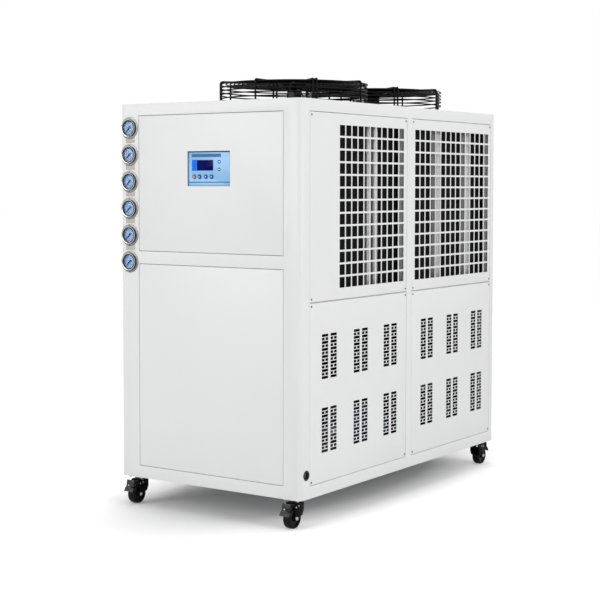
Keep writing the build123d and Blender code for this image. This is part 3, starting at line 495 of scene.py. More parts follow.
def screw_tree():
    """A crossed pan head on each point of a mesh, facing the way the point's facing attribute says."""
    inputs = [("Radius", "Float", 0.004), ("Height", "Float", 0.002), ("Recess", "Float", 0.001)]
    parts = {"head": ("MeshCylinder", {"fill_type": "NGON", "Vertices": 24}),
             "dome": ("MeshUVSphere", {"Segments": 24, "Rings": 16}),
             "squash": ("ShaderNodeMath", {"operation": "DIVIDE"}),
             "flat": ("ShaderNodeCombineXYZ", {"X": 1.05, "Y": 1.05}),
             "low_dome": "Transform",
             "rise": ("ShaderNodeMath", {"operation": "MULTIPLY", "1": 0.5}),
             "up": "ShaderNodeCombineXYZ", "raised": "Transform",
             "crown": ("MeshBoolean", {"operation": "INTERSECT"}),
             "top": "ShaderNodeCombineXYZ", "bars": "JoinGeometry",
             "recess": ("MeshBoolean", {"operation": "DIFFERENCE"}),
             "facing": point_facing, "align": "FunctionNodeAlignRotationToVector",
             "spread": "InstanceOnPoints", "real": "RealizeInstances"}
    wires = ["given.Radius > head.Radius", "given.Height > head.Depth", "given.Radius > dome.Radius",
             "given.Height > squash.0", "given.Radius > squash.1", "squash.Value > flat.Z",
             "dome.Mesh > low_dome.Geometry", "flat.Vector > low_dome.Scale", "given.Height > rise.0",
             "rise.Value > up.Z", "head.Mesh > raised.Geometry", "up.Vector > raised.Translation",
             "raised.Geometry > crown.Mesh 2", "low_dome.Geometry > crown.Mesh 2", "given.Height > top.Z"]
    for axis in ("X", "Y"):
        size, bar, lifted = f"size {axis}", f"bar {axis}", f"lifted {axis}"
        parts.update({size: ("ShaderNodeCombineXYZ", {"Z": recess_depth}), bar: "MeshCube",
                      lifted: "Transform"})
        wires += [f"given.{'Radius' if name == axis else 'Recess'} > {size}.{name}" for name in ("X", "Y")]
        wires += [f"{size}.Vector > {bar}.Size", f"{bar}.Mesh > {lifted}.Geometry",
                  f"top.Vector > {lifted}.Translation", f"{lifted}.Geometry > bars.Geometry"]
    wires += ["crown.Mesh > recess.Mesh 1", "bars.Geometry > recess.Mesh 2",
              "facing.Attribute > align.Vector", "given.Mesh > spread.Points",
              "recess.Mesh > spread.Instance", "align.Rotation > spread.Rotation",
              "spread.Instances > real.Geometry"]
    return repeat_tree("crossed_screws", inputs, parts, wires, "real.Geometry")


def points_object(name, points, facings):
    """A mesh of loose points, each with the way it faces."""
    mesh = bpy.data.meshes.new(name)
    mesh.from_pydata(points, [], [])
    attribute = mesh.attributes.new("facing", "FLOAT_VECTOR", "POINT")
    attribute.data.foreach_set("vector", [value for facing in facings for value in facing])
    return mesh_object(name, mesh)


crossed_screws = screw_tree()


def screw_heads(name, places, facings, size, material, *nodes):
    """Crossed heads on the cabinet, of a size given as (radius, height, width of the recess)."""
    heads = points_object(name, places, facings)
    run_tree(heads, crossed_screws, dict(zip(("Radius", "Height", "Recess"), size)), material)
    return fitted(heads, "cabinet", "zinc_plated", *nodes)


screw_places = []
screw_facings = []
for z in (vent_low_z + screw_inset_end, seam_z - screw_inset_end, seam_z + screw_inset_end,
          grille_top_z - screw_inset_end):
    for side in (-1, 1):
        for bay_y in (front_bay, rear_bay):
            for y in (bay_y + screw_inset_side, bay_y + bay - screw_inset_side):
                screw_places.append((side * side_x, y, z))
                screw_facings.append((side, 0, 0))
        screw_places.append((side * (side_x - rear_stile - screw_inset_side), rear_y, z))
        screw_facings.append((0, 1, 0))
screw_heads("panel_screw_heads", screw_places, screw_facings, panel_screw, zinc_plated, "panel_screws")

# Cable bush
# A black rubber bush pressed into the hole low on the front post, where a supply cable would enter.
# Its lip is rounded and hugs the sheet.
bush_place = (side_x, front_y + 0.035, base_z + 0.089)
black_rubber = finish_material("black_rubber", (0.008, 0.008, 0.008), (0.016, 0.016, 0.016), (0.55, 0.7),
                               peel=700.0, bump=0.12, tone=60.0)
bush_outline = [(0.0125, -0.010), (0.0155, -0.010), (0.0155, 0.0), (0.019, 0.0), (0.0187, 0.0009),
                (0.0178, 0.0016), (0.0165, 0.0018), (0.0138, 0.0018), (0.0128, 0.0012), (0.0125, 0.0003)]
bush = mesh_object("cable_bush", turned(bush_outline, 48, bush_place, "X"), black_rubber)
fitted(bush, "cabinet", "black_rubber", "cable_grommet")

# Front doors
# Two flush trays of powder-coated sheet on hidden pivot pins. Rubber seals behind them leave only a
# thin dark line round each, and the upper one has a rectangular opening for the controller.
pivot = finish_material("pivot_steel", (0.45, 0.45, 0.44), (0.58, 0.58, 0.57), (0.25, 0.35), metallic=1.0,
                        peel=900.0, bump=0.03, tone=90.0)
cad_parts["door_hinge_pins"].data.materials.clear()
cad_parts["door_hinge_pins"].data.materials.append(pivot)
door_left = -side_x + 0.095
door_right = side_x - 0.0775
controller_half = (0.101, 0.066)
controller_x = (door_left + door_right) / 2
controller_z = base_z + 1.2075
door_pin = (door_right - 0.002 - 0.004, front_y + 0.004)
pin_hole_radius = 0.00165
pin_hole_reach = 0.004
opening_cut = 0.01
door_spans = {"upper_door": (base_z + 0.8885, base_z + 1.415), "lower_door": (base_z + 0.047, base_z + 0.8405)}
for body, (low_z, high_z) in door_spans.items():
    low = (door_left + panel_seam, front_y, low_z + panel_seam)
    high = (door_right - panel_seam, front_y + panel_return, high_z - panel_seam)
    tray = folded_tray(f"{body}_sheet", low, high, 1, 1)
    cutter_meshes = [bored(pin_hole_radius, pin_hole_reach, 20, (*door_pin, z)) for z in (low[2], high[2])]
    if body == "upper_door":
        cutter_meshes.append(boxes_mesh([(
            (controller_x - controller_half[0], front_y - opening_cut, controller_z - controller_half[1]),
            (controller_x + controller_half[0], front_y + opening_cut, controller_z + controller_half[1]))]))
    cut_through(tray, cutter_meshes)
    tray.data.materials.clear()
    tray.data.materials.append(powder_coat)
    fitted(tray, body, "powder_coat", f"front_{body}")

# Controller
# A moulded housing set into the upper door, its face 5 mm behind the sheet. Printed strips and rings
# on the face film frame a navy display, two status lamps and four round keys.
face_y = front_y + 0.005
face_gap = 0.0004
housing_lip = 0.008
housing_front = front_y + 0.0023
housing_back = front_y + 0.028
film_sink = 0.0002
rule_width = (0.0130, 0.0170)
lamp_radii = (0.0073, 0.0066, 0.0030)
controller_blue = finish_material("controller_blue", (0.24, 0.51, 0.83), (0.27, 0.54, 0.87), (0.30, 0.38),
                                  peel=700.0, bump=0.05, tone=6.0, coat=0.15)
title_blue = finish_material("title_blue", (0.055, 0.16, 0.36), (0.07, 0.19, 0.40), (0.30, 0.38), peel=700.0,
                             specular=0.12)
deep_blue = finish_material("deep_blue", (0.012, 0.055, 0.22), (0.016, 0.07, 0.26), (0.30, 0.38), peel=700.0,
                            specular=0.12)
bright_blue = finish_material("bright_blue", (0.0005, 0.15, 0.80), (0.001, 0.18, 0.86), (0.28, 0.36),
                              peel=700.0, specular=0.1)
ink_white = finish_material("ink_white", (0.80, 0.80, 0.80), (0.86, 0.86, 0.86), (0.35, 0.45), peel=700.0)
ring_green = finish_material("ring_green", (0.01, 0.12, 0.10), (0.015, 0.15, 0.12), (0.3, 0.4), peel=700.0,
                             specular=0.12)


def plate_mesh(outline, near, far, holes=()):
    """A flat plate across Y between two depths: its outline and its holes are closed loops of (x, z)."""
    shape = bmesh.new()
    edges = []
    for loop in (outline, *holes):
        ring = [shape.verts.new((x, near, z)) for x, z in loop]
        edges += [shape.edges.new((ring[k - 1], ring[k])) for k in range(len(ring))]
    bmesh.ops.triangle_fill(shape, use_beauty=True, use_dissolve=False, edges=edges, normal=(0, -1, 0))
    bmesh.ops.dissolve_limit(shape, angle_limit=math.radians(flat_angle), verts=shape.verts,
                             edges=shape.edges)
    swept = bmesh.ops.extrude_face_region(shape, geom=list(shape.faces))
    far_side = [part for part in swept["geom"] if isinstance(part, bmesh.types.BMVert)]
    bmesh.ops.translate(shape, vec=(0, far - near, 0), verts=far_side)
    bmesh.ops.recalc_face_normals(shape, faces=shape.faces)
    return meshed(shape, "plate")


def round_loop(x, z, radius, count=32):
    """A circle of points in X and Z."""
    return [(x + radius * math.cos(math.tau * k / count), z + radius * math.sin(math.tau * k / count))
            for k in range(count)]


def soft_loop(x0, x1, z0, z1, radius, steps=6):
    """A rectangle in X and Z with rounded corners."""
    loop = []
    for cx, cz, first in ((x1 - radius, z0 + radius, -90), (x1 - radius, z1 - radius, 0),
                          (x0 + radius, z1 - radius, 90), (x0 + radius, z0 + radius, 180)):
        for step in range(steps + 1):
            turn = math.radians(first + 90 * step / steps)
            loop.append((cx + radius * math.cos(turn), cz + radius * math.sin(turn)))
    return loop


def grown_loop(box, out, radius):
    """A rounded rectangle that stands out round a box (x0, x1, z0, z1), or in with a minus."""
    return soft_loop(box[0] - out, box[1] + out, box[2] - out, box[3] + out, radius)


def soft_parts(name, meshes, edge, material, body, slot, *nodes):
    """One piece of several meshes with softened edges, on its body."""
    return fitted(softened(joined(name, meshes, material), edge, material), body, slot, *nodes)


panel_left = controller_x - controller_half[0]
panel_right = controller_x + controller_half[0]
panel_low = controller_z - controller_half[1]
panel_high = controller_z + controller_half[1]
panel_box = (panel_left, panel_right, panel_low, panel_high)
key_radius = 0.0085
key_z = panel_low + 0.0355
key_places = {"power_key": panel_left + 0.029, "up_key": panel_left + 0.0545,
              "down_key": panel_left + 0.0845, "set_key": panel_left + 0.1115}
display_box = (panel_left + 0.0425, panel_left + 0.1185, panel_high - 0.0725, panel_high - 0.0345)
key_holes = [round_loop(x, key_z, key_radius + face_gap) for x in key_places.values()]
housing_edge = grown_loop(panel_box, housing_lip, 0.004)
face_edge = grown_loop(panel_box, -face_gap, 0.002)
soft_parts("controller_housing", [plate_mesh(housing_edge, housing_front, face_y + 0.002, [face_edge]),
                                  plate_mesh(housing_edge, face_y, housing_back, key_holes)],
           0.0004, controller_blue, "upper_door", "controller_blue", "controller_panel")
# A black rubber gasket round the controller's face: a thin rim at the left and bottom is the gasket, and the
# broad strips at the top and right are painted shade of the recess.
shade_gasket_hole = soft_loop(panel_left + 0.0010, panel_right - 0.0026, panel_low + 0.0010, panel_high - 0.0046,
                        0.002)
shade_gasket = plate_mesh(face_edge, face_y - 0.0022, face_y + 0.0005, [shade_gasket_hole])
fitted(mesh_object("controller_shade_gasket", shade_gasket, black_rubber), "upper_door", "black_rubber")


def film_print(name, material, slot, *loops, rise=0.00015, holes=()):
    """Thin printed shapes on the controller's face."""
    print_piece = joined(name, [plate_mesh(loop, face_y - rise, face_y + film_sink, holes) for loop in loops],
                         material)
    return fitted(print_piece, "upper_door", slot)


title_box = (panel_left + 0.017, panel_left + 0.1555, panel_high - 0.0227, panel_high - 0.0104)
film_print("title_border", deep_blue, "display_navy", soft_loop(*title_box, 0.001))
film_print("title_strip", title_blue, "controller_blue", grown_loop(title_box, -0.0012, 0.0008), rise=0.00025)
film_print("bright_block", bright_blue, "key_blue",
           soft_loop(panel_left + 0.0184, panel_left + 0.0405, display_box[2] - 0.0018,
                     display_box[3] + 0.0018, 0.001))
film_print("display_border", title_blue, "display_navy", grown_loop(display_box, 0.0016, 0.001),
           holes=[soft_loop(*display_box, 0.0008)])
film_print("face_rule", title_blue, "display_navy",
           soft_loop(panel_left + 0.0035, panel_right - 0.0035, *(panel_low + up for up in rule_width), 0.0003))
lamp_x = panel_left + 0.1475
lamp_rows = (panel_high - 0.0409, panel_high - 0.0692)
film_print("lamp_ring_blue", bright_blue, "key_blue", round_loop(lamp_x, lamp_rows[0], lamp_radii[0]))
film_print("lamp_ring_green", ring_green, "display_navy", round_loop(lamp_x, lamp_rows[1], lamp_radii[1]))
film_print("lamp_centres", ink_white, "label_plate",
           *(round_loop(lamp_x, z, lamp_radii[2]) for z in lamp_rows), rise=0.0004)

# Display
# A liquid-crystal window behind a clear navy cover of moulded plastic. The cover is glued into the
# housing and stands slightly proud of the film.
display_navy = finish_material("display_navy", (0.0005, 0.001, 0.09), (0.001, 0.002, 0.12), (0.12, 0.2),
                               peel=80.0, bump=0.01, tone=8.0, specular=0.05)
soft_parts("display_window", [plate_mesh(soft_loop(*display_box, 0.0008), face_y - 0.0006, face_y + 0.0035)],
           0.0003, display_navy, "upper_door", "display_navy", "controller_display")

# Keys
# Four moulded push keys with a low dished top in a ring of trim, on springs in the housing. Their
# printed marks are plain bars and arrows.
key_red = finish_material("key_red", (0.15, 0.062, 0.13), (0.19, 0.075, 0.15), (0.30, 0.42), peel=900.0,
                          coat=0.2)
key_blue = finish_material("key_blue", (0.001, 0.085, 0.34), (0.002, 0.11, 0.40), (0.28, 0.38), peel=900.0,
                           specular=0.15)
key_outline = [(0.0, -0.0022), (0.0052, -0.0024), (0.0064, -0.0026), (0.0075, -0.0027), (0.0082, -0.0024),
               (key_radius, -0.0016), (key_radius, 0.0031), (0.0, 0.0031)]
power_ring_z = -0.0008
power_ring_hole = 0.0026
key_mark_depth = (-0.0026, -0.0021)
key_marks = {"power_key": [soft_loop(-0.0006, 0.0006, 0.0, 0.0046, 0.0003),
                           round_loop(0, power_ring_z, 0.0034)],
             "up_key": [[(-0.0036, -0.002), (0.0036, -0.002), (0.0, 0.0034)]],
             "down_key": [[(-0.0036, 0.002), (0.0, -0.0034), (0.0036, 0.002)]],
             "set_key": [soft_loop(-0.0034, 0.0034, -0.0005 + lift, 0.0005 + lift, 0.0003)
                         for lift in (-0.0022, 0.0, 0.0022)]}
for key, x in key_places.items():
    power = key == "power_key"
    cap = mesh_object(f"{key}_cap", turned(key_outline, 40, (x, face_y, key_z), "Y"),
                      key_red if power else key_blue)
    fitted(cap, key, "key_red" if power else "key_blue", key)
    marks = []
    for number, loop in enumerate(key_marks[key]):
        hollow = [round_loop(x, key_z + power_ring_z, power_ring_hole)] if power and number == 1 else []
        marks.append(plate_mesh([(x + u, key_z + w) for u, w in loop],
                                *(face_y + depth for depth in key_mark_depth), hollow))
    fitted(joined(f"{key}_mark", marks, ink_white), key, "label_plate")

# Gauges
# Six glycerine-filled dial gauges pushed through the left stile. Each has a satin steel flange with two
# fixing screws, a case with a chrome rim, a black gasket ring over the dial's edge, a pale blue dial with
# printed ticks, and a lens. The case wall and screws are a near-black copy of the chrome: painted dark
# reflection. The ring is a gasket, and its black is also painted dark reflection.
gauge_x = -side_x + 0.050
gauge_heights = [base_z + 1.367 - index * 0.1042 for index in range(6)]
dial_zero = 225.0
dial_sweep = 270.0
dial_rise = 0.0013
flange_rise = 0.0025
flange_screw = (0.0021, 0.0009, 0.0006)
flange_screw_reach = 0.0382
tick_depth = 0.0002
tick_sets = (("fine", 51, 0.0252, 0.0272, 0.00035), ("main", 11, 0.0228, 0.0272, 0.0007))
satin_steel = finish_material("satin_steel", (0.20, 0.20, 0.205), (0.30, 0.30, 0.305), (0.30, 0.44),
                              metallic=1.0, peel=1400.0, bump=0.08, tone=70.0)
chrome = finish_material("chrome", (0.52, 0.525, 0.53), (0.62, 0.625, 0.63), (0.05, 0.10), metallic=1.0,
                         peel=60.0, bump=0.01, tone=40.0)
# A near-black copy of chrome for the case walls and flange screws: painted dark reflection.
dark_reflection_chrome = finish_material("dark_reflection_chrome", (0.035, 0.036, 0.040), (0.06, 0.062, 0.068), (0.10, 0.18),
                              metallic=1.0, peel=60.0, bump=0.02, tone=40.0)
dial_blue = finish_material("dial_blue", (0.28, 0.46, 0.76), (0.33, 0.50, 0.80), (0.40, 0.50), peel=900.0,
                            bump=0.01, tone=90.0)
tick_black = finish_material("tick_black", (0.02, 0.025, 0.05), (0.03, 0.035, 0.06), (0.4, 0.5), peel=900.0)
# The black ring over the dial's edge: a gasket, its black also a painted dark reflection of the bezel.
bezel_reflection_black = finish_material("bezel_reflection_black", (0.010, 0.012, 0.022), (0.018, 0.021, 0.034), (0.24, 0.36),
                              peel=600.0, bump=0.02, tone=50.0, specular=0.3)
lens_glass = finish_material("lens_glass", (0.98, 0.99, 1.0), (1.0, 1.0, 1.0), (0.0, 0.015), peel=40.0,
                             bump=0.004, tone=30.0)
lens_shader = lens_glass.node_tree.nodes["Principled BSDF"]
lens_shader.inputs["Transmission Weight"].default_value = 1.0
lens_shader.inputs["IOR"].default_value = 1.2


def bar_tree():
    """A bar on each point of a mesh, its length along the point's facing attribute."""
    inputs = [("Width", "Float", 0.001), ("Depth", "Float", 0.001), ("Length", "Float", 0.01)]
    parts = {"size": "ShaderNodeCombineXYZ", "bar": "MeshCube", "facing": point_facing,
             "align": ("FunctionNodeAxesToRotation", {"primary_axis": "Z", "secondary_axis": "Y",
                                                      "Secondary Axis": (0.0, 1.0, 0.0)}),
             "spread": "InstanceOnPoints", "real": "RealizeInstances"}
    wires = ["given.Width > size.X", "given.Depth > size.Y", "given.Length > size.Z",
             "size.Vector > bar.Size", "facing.Attribute > align.Primary Axis", "given.Mesh > spread.Points",
             "bar.Mesh > spread.Instance", "align.Rotation > spread.Rotation",
             "spread.Instances > real.Geometry"]
    return repeat_tree("bars_on_points", inputs, parts, wires, "real.Geometry")


bars_on_points = bar_tree()
flange_outline = [(0.0330, 0.0), (0.0425, 0.0), (0.0425, -0.0017), (0.0421, -0.0023), (0.0414, -flange_rise),
                  (0.0345, -flange_rise), (0.0338, -0.0032), (0.0330, -0.0032)]
case_outline = [(0.0, -0.0002), (0.0335, -0.0002), (0.0335, -0.0098), (0.0302, -0.0098), (0.0300, -0.0009),
                (0.0, -0.0009)]
rim_outline = [(0.0300, -0.0088), (0.0334, -0.0088), (0.0335, -0.0096), (0.0333, -0.0105), (0.0326, -0.0110),
               (0.0314, -0.0109), (0.0305, -0.0104), (0.0300, -0.0096)]
bezel_outline = [(0.0268, -0.0096), (0.0268, -0.0098), (0.0303, -0.0103), (0.0303, -0.0096)]
dial_outline = [(0.0, -0.0006), (0.0299, -0.0006), (0.0299, -dial_rise), (0.0, -dial_rise)]
lens_outline = [(0.0, -0.0075), (0.0296, -0.0075), (0.0297, -0.0090), (0.0285, -0.0094), (0.0, -0.0095)]
for name, outline, material, slot, *nodes in (
        ("gauge_flanges", flange_outline, satin_steel, "chrome", "gauge_cases"),
        ("gauge_walls", case_outline, dark_reflection_chrome, "chrome"),
        ("gauge_rims", rim_outline, chrome, "chrome"),
        ("gauge_bezels", bezel_outline, bezel_reflection_black, "chrome"),
        ("gauge_dials", dial_outline, dial_blue, "label_plate"),
        ("gauge_glass", lens_outline, lens_glass, "dial_glass", "gauge_lenses")):
    rings = [turned(outline, 56, (gauge_x, front_y, z), "Y") for z in gauge_heights]
    fitted(joined(name, rings, material), "cabinet", slot, *nodes)
flange_places = [(gauge_x, front_y - flange_rise, z + up)
                 for z in gauge_heights for up in (flange_screw_reach, -flange_screw_reach)]
# The flange screws take the near-black chrome: painted dark reflection.
screw_heads("gauge_screws", flange_places, [(0, -1, 0)] * len(flange_places), flange_screw, dark_reflection_chrome)
for kind, count, inner, outer, thick in tick_sets:
    tick_places = []
    tick_ways = []
    for z in gauge_heights:
        for k in range(count):
            turn = math.radians(dial_zero - dial_sweep * k / (count - 1))
            way = (math.cos(turn), 0.0, math.sin(turn))
            middle = (inner + outer) / 2
            tick_places.append((gauge_x + middle * way[0], front_y - dial_rise, z + middle * way[2]))
            tick_ways.append(way)
    ticks = points_object(f"dial_ticks_{kind}", tick_places, tick_ways)
    run_tree(ticks, bars_on_points, {"Width": thick, "Depth": tick_depth, "Length": outer - inner},
             tick_black, None)
    fitted(ticks, "cabinet", "needle")

# Gauge needles
# Each pointer is stamped from thin aluminium and painted navy: a blade with a broad counterweight tail
# and a small hub, pressed on the dial's spindle.
spindle_radius = 0.0016
needle_navy = finish_material("needle_navy", (0.001, 0.006, 0.045), (0.002, 0.010, 0.065), (0.28, 0.4),
                              peel=900.0, specular=0.1)
half_blade = [(-0.0090, 0.0024), (-0.0060, 0.0029), (0.0, 0.0023), (0.0170, 0.0012), (0.0230, 0.0006)]
blade_outline = [(u, -w) for u, w in half_blade] + half_blade[::-1]
hub_outline = [(spindle_radius, -0.0038), (0.0028, -0.0038), (0.0028, -0.0049), (0.0024, -0.0052),
               (spindle_radius, -0.0052)]
along = (math.cos(math.radians(dial_zero)), math.sin(math.radians(dial_zero)))
for index, z in enumerate(gauge_heights, start=1):
    loop = [(gauge_x + u * along[0] - w * along[1], z + u * along[1] + w * along[0])
            for u, w in blade_outline]
    spindle_hole = round_loop(gauge_x, z, spindle_radius, 16)
    needle = joined(f"gauge_pointer_{index}",
                    [plate_mesh(loop, front_y - 0.0046, front_y - 0.0040, [spindle_hole]),
                     turned(hub_outline, 24, (gauge_x, front_y, z), "Y")], needle_navy)
    fitted(needle, f"gauge_needle_{index}", "needle", f"gauge_needle_{index}")

# Gauge labels
# Small blank plates of anodised aluminium riveted under the upper five gauges, each notched to fit
# the flange above it.
notch_radius = 0.0428
notch_steps = 12
plate_beige = finish_material("plate_beige", (0.46, 0.45, 0.41), (0.53, 0.52, 0.47), (0.45, 0.6), peel=900.0,
                              bump=0.03, tone=50.0)
label_low, label_high = -0.0575, -0.0375
label_loop = [(-0.019, label_low), (0.025, label_low), (0.025, label_high), (0.0207, label_high)]
for step in range(notch_steps + 1):
    x = 0.0200 - 0.0390 * step / notch_steps
    label_loop.append((x, -math.sqrt(notch_radius ** 2 - x ** 2)))
plates = [plate_mesh([(gauge_x + x, z + up) for x, up in label_loop], front_y - 0.0012, front_y - 0.0001)
          for z in gauge_heights[:5]]
soft_parts("gauge_labels", plates, 0.0003, plate_beige, "cabinet", "label_plate", "gauge_label_plates")

# Fan guards
# Two welded cages of 5 mm wire in black plastic coating: rings up the side and across the top, tied by
# ribs that are hooked over the top ring and screwed to the roof. A plate in the middle holds the motor.
fan_places = tuple(zip(("front", "rear"), fan_centres))
guard_radius = 0.309
guard_wire = 0.0054
guard_rib = 0.0038
guard_turn = 5.0
rib_count = 8
rib_half_pair = 0.0075
rib_foot, rib_top = 0.0042, 0.0988
rib_end = 0.062
top_ring_height = 0.0945
ring_heights = (0.006, 0.034, 0.050, 0.064, 0.078, 0.0925)
top_ring_radii = [0.0790 + 0.0165 * k for k in range(13)]
wire_sides = 8
wire_edge_angle = 60.0
black_wire = finish_material("black_wire", (0.003, 0.003, 0.0033), (0.006, 0.006, 0.0065), (0.34, 0.46),
                             peel=600.0, bump=0.08, tone=30.0, specular=0.08)


def ring_tree():
    """A wire ring about the vertical on each point of a mesh, of the point's own radius."""
    inputs = [("Wire", "Float", 0.0025), ("Segments", "Int", 72)]
    parts = {"circle": ("CurvePrimitiveCircle", {"Radius": 1.0}),
             "radius": ("InputNamedAttribute", {"data_type": "FLOAT", "Name": "radius"}),
             "spread": "InstanceOnPoints", "real": "RealizeInstances",
             "profile": ("CurvePrimitiveCircle", {"Resolution": wire_sides}), "wire": "CurveToMesh"}
    wires = ["given.Segments > circle.Resolution", "given.Mesh > spread.Points",
             "circle.Curve > spread.Instance", "radius.Attribute > spread.Scale",
             "spread.Instances > real.Geometry", "given.Wire > profile.Radius", "real.Geometry > wire.Curve",
             "profile.Curve > wire.Profile Curve"]
    return repeat_tree("wire_rings", inputs, parts, wires, "wire.Mesh")


def wire_tree():
    """A round wire along every run of edges of a mesh, its bends eased and its ends closed."""
    inputs = [("Wire", "Float", 0.0025), ("Bend", "Float", 0.008), ("Sides", "Int", wire_sides)]
    parts = {"runs": "MeshToCurve",
             "bend": ("FilletCurve", {"mode": "POLY", "Count": 5, "Limit Radius": True}),
             "profile": "CurvePrimitiveCircle", "wire": ("CurveToMesh", {"Fill Caps": True})}
    wires = ["given.Mesh > runs.Mesh", "runs.Curve > bend.Curve", "given.Bend > bend.Radius",
             "given.Sides > profile.Resolution", "given.Wire > profile.Radius", "bend.Curve > wire.Curve",
             "profile.Curve > wire.Profile Curve"]
    return repeat_tree("bent_wires", inputs, parts, wires, "wire.Mesh")


wire_rings = ring_tree()
bent_wires = wire_tree()


def bent_run(name, runs, radius, bend, material, slot, *nodes, sides=wire_sides):
    """Round wires or pipes on the cabinet, each bent along a run of points."""
    points, edges = [], []
    for run in runs:
        edges += [(len(points) + k, len(points) + k + 1) for k in range(len(run) - 1)]
        points += run
    mesh = bpy.data.meshes.new(name)
    mesh.from_pydata(points, edges, [])
    piece = run_tree(mesh_object(name, mesh), bent_wires, {"Wire": radius, "Bend": bend, "Sides": sides},
                     material, wire_edge_angle)
    return fitted(piece, "cabinet", slot, *nodes)


plate_outline = [(0.0, 0.0932), (0.066, 0.0932), (0.0668, 0.094), (0.0668, 0.0967), (0.066, 0.0975),
                 (0.0, 0.0975)]
for place, fan_y in fan_places:
    mesh = bpy.data.meshes.new("guard_rings")
    outer = guard_radius - guard_rib * 2 - guard_wire / 2
    levels = [(outer, height) for height in ring_heights]
    levels += [(radius, top_ring_height) for radius in top_ring_radii]
    mesh.from_pydata([(0.0, fan_y, top_z + height) for _, height in levels], [], [])
    attribute = mesh.attributes.new("radius", "FLOAT", "POINT")
    attribute.data.foreach_set("value", [radius for radius, _ in levels])
    rings = mesh_object(f"guard_rings_{place}", mesh)
    run_tree(rings, wire_rings, {"Wire": guard_wire / 2, "Segments": 80}, black_wire, wire_edge_angle)
    fitted(rings, "cabinet", "black_wire", f"fan_guard_{place}")
    ribs = []
    rib_reach = guard_radius - guard_rib - 0.0002
    for k in range(rib_count):
        for shift in ((-rib_half_pair, rib_half_pair) if k % 2 else (0.0,)):
            turn = math.radians(guard_turn + 360 / rib_count * k)
            out = Vector((math.sin(turn), -math.cos(turn), 0.0))
            foot = Vector((0.0, fan_y, top_z)) + Vector((out.y, -out.x, 0.0)) * shift
            ribs.append([tuple(foot + out * reach + Vector((0, 0, up)))
                         for reach, up in ((rib_reach, rib_foot), (rib_reach, rib_top), (rib_end, rib_top))])
    bent_run(f"guard_ribs_{place}", ribs, guard_rib, 0.007, black_wire, "black_wire")
    plate = mesh_object(f"guard_plate_{place}", turned(plate_outline, 64, (0.0, fan_y, top_z)), black_wire)
    fitted(plate, "cabinet", "black_wire")

# Fan motors
# Two motors hung under the guards' plates: a flange, a neck and a ribbed body inside the impeller's cup,
# cast and painted black, with a turned steel shaft.
motor_black = finish_material("motor_black", (0.005, 0.005, 0.0055), (0.010, 0.010, 0.0105), (0.38, 0.55),
                              peel=300.0, bump=0.12, tone=20.0, specular=0.15)
guard_height = 0.103
motor_length = 0.120
motor_low = guard_height - guard_wire - 0.004 - motor_length
motor_rises = [(0.0, 0.0), (0.040, 0.0), (0.047, 0.004), (0.050, 0.010)]
for k in range(4):
    rib_low = 0.014 + 0.0105 * k
    motor_rises += [(0.0465, rib_low), (0.0465, rib_low + 0.0055), (0.0520, rib_low + 0.0065),
                    (0.0520, rib_low + 0.0090)]
motor_rises += [(0.050, 0.060), (0.030, 0.066), (0.028, 0.094), (0.032, 0.100), (0.050, 0.106),
                (0.0515, 0.1195), (0.0, 0.1195)]
shaft_rises = [(0.0, -0.0165), (0.0072, -0.0165), (0.0079, -0.0158), (0.0079, 0.001), (0.0, 0.001)]
for name, rises, sides, finish, slot, *nodes in (
        ("motor_bodies", motor_rises, 48, motor_black, "motor_black", "fan_motors"),
        ("motor_shafts", shaft_rises, 32, pivot, "zinc_plated")):
    outline = [(radius, motor_low + rise) for radius, rise in rises]
    pair = [turned(outline, sides, (0.0, fan_y, top_z)) for fan_y in fan_centres]
    fitted(joined(name, pair, finish), "cabinet", slot, *nodes)

# Motor lead block
# A small black junction block clipped to the front guard's lowest side ring, with short stiff tails that
# turn up and back into the cage towards the motor.
block_turn = math.radians(32.5)
block_out = Vector((math.sin(block_turn), -math.cos(block_turn), 0.0))
block_side = Vector((math.cos(block_turn), math.sin(block_turn), 0.0))
block_turned = Matrix((block_out, block_side, Vector((0.0, 0.0, 1.0)))).transposed().to_4x4()
block_place = Matrix.Translation((0.0, fan_centres[0], top_z)) @ block_turned
lead_block = mesh_object("lead_block", boxes_mesh([((-0.009, -0.011, 0.0), (0.006, 0.011, 0.022)),
                                                   ((-0.007, -0.007, 0.022), (0.003, 0.005, 0.031))]))
lead_block.data.transform(block_place @ Matrix.Translation((0.2965, 0.0, 0.022)))
fitted(softened(lead_block, 0.0012, black_rubber), "cabinet", "black_rubber")
tail_steps = (((0.288, -0.006, 0.056), (0.287, -0.002, 0.078), (0.279, 0.010, 0.086), (0.262, 0.012, 0.080)),
              ((0.289, 0.016, 0.030), (0.290, 0.030, 0.052), (0.289, 0.045, 0.030), (0.276, 0.050, 0.024)),
              ((0.287, 0.016, 0.036), (0.286, 0.026, 0.062), (0.284, 0.036, 0.050), (0.270, 0.042, 0.040)))
bent_run("lead_tails", [[tuple(block_place @ Vector(step)) for step in tail] for tail in tail_steps],
         0.0022, 0.008, black_rubber, "black_rubber")

# Fan impellers
# A pressed steel cup round each motor's lower half carries five rolled and pitched blades, welded at
# their roots. Cup and blades are painted black as one.
fan_blade = finish_material("fan_blade", (0.004, 0.004, 0.0045), (0.009, 0.009, 0.0095), (0.34, 0.5),
                            peel=300.0, bump=0.1, tone=16.0, specular=0.15)
blade_count = 5
cup_base = motor_low - 0.016
cup_rises = [(0.0082, 0.0), (0.064, 0.0), (0.068, 0.0015), (0.070, 0.0055), (0.070, 0.0765), (0.0685, 0.078),
             (0.0672, 0.0765), (0.0672, 0.0085), (0.0650, 0.0058), (0.0082, 0.0056)]
cup_outline = [(radius, cup_base + rise) for radius, rise in cup_rises]


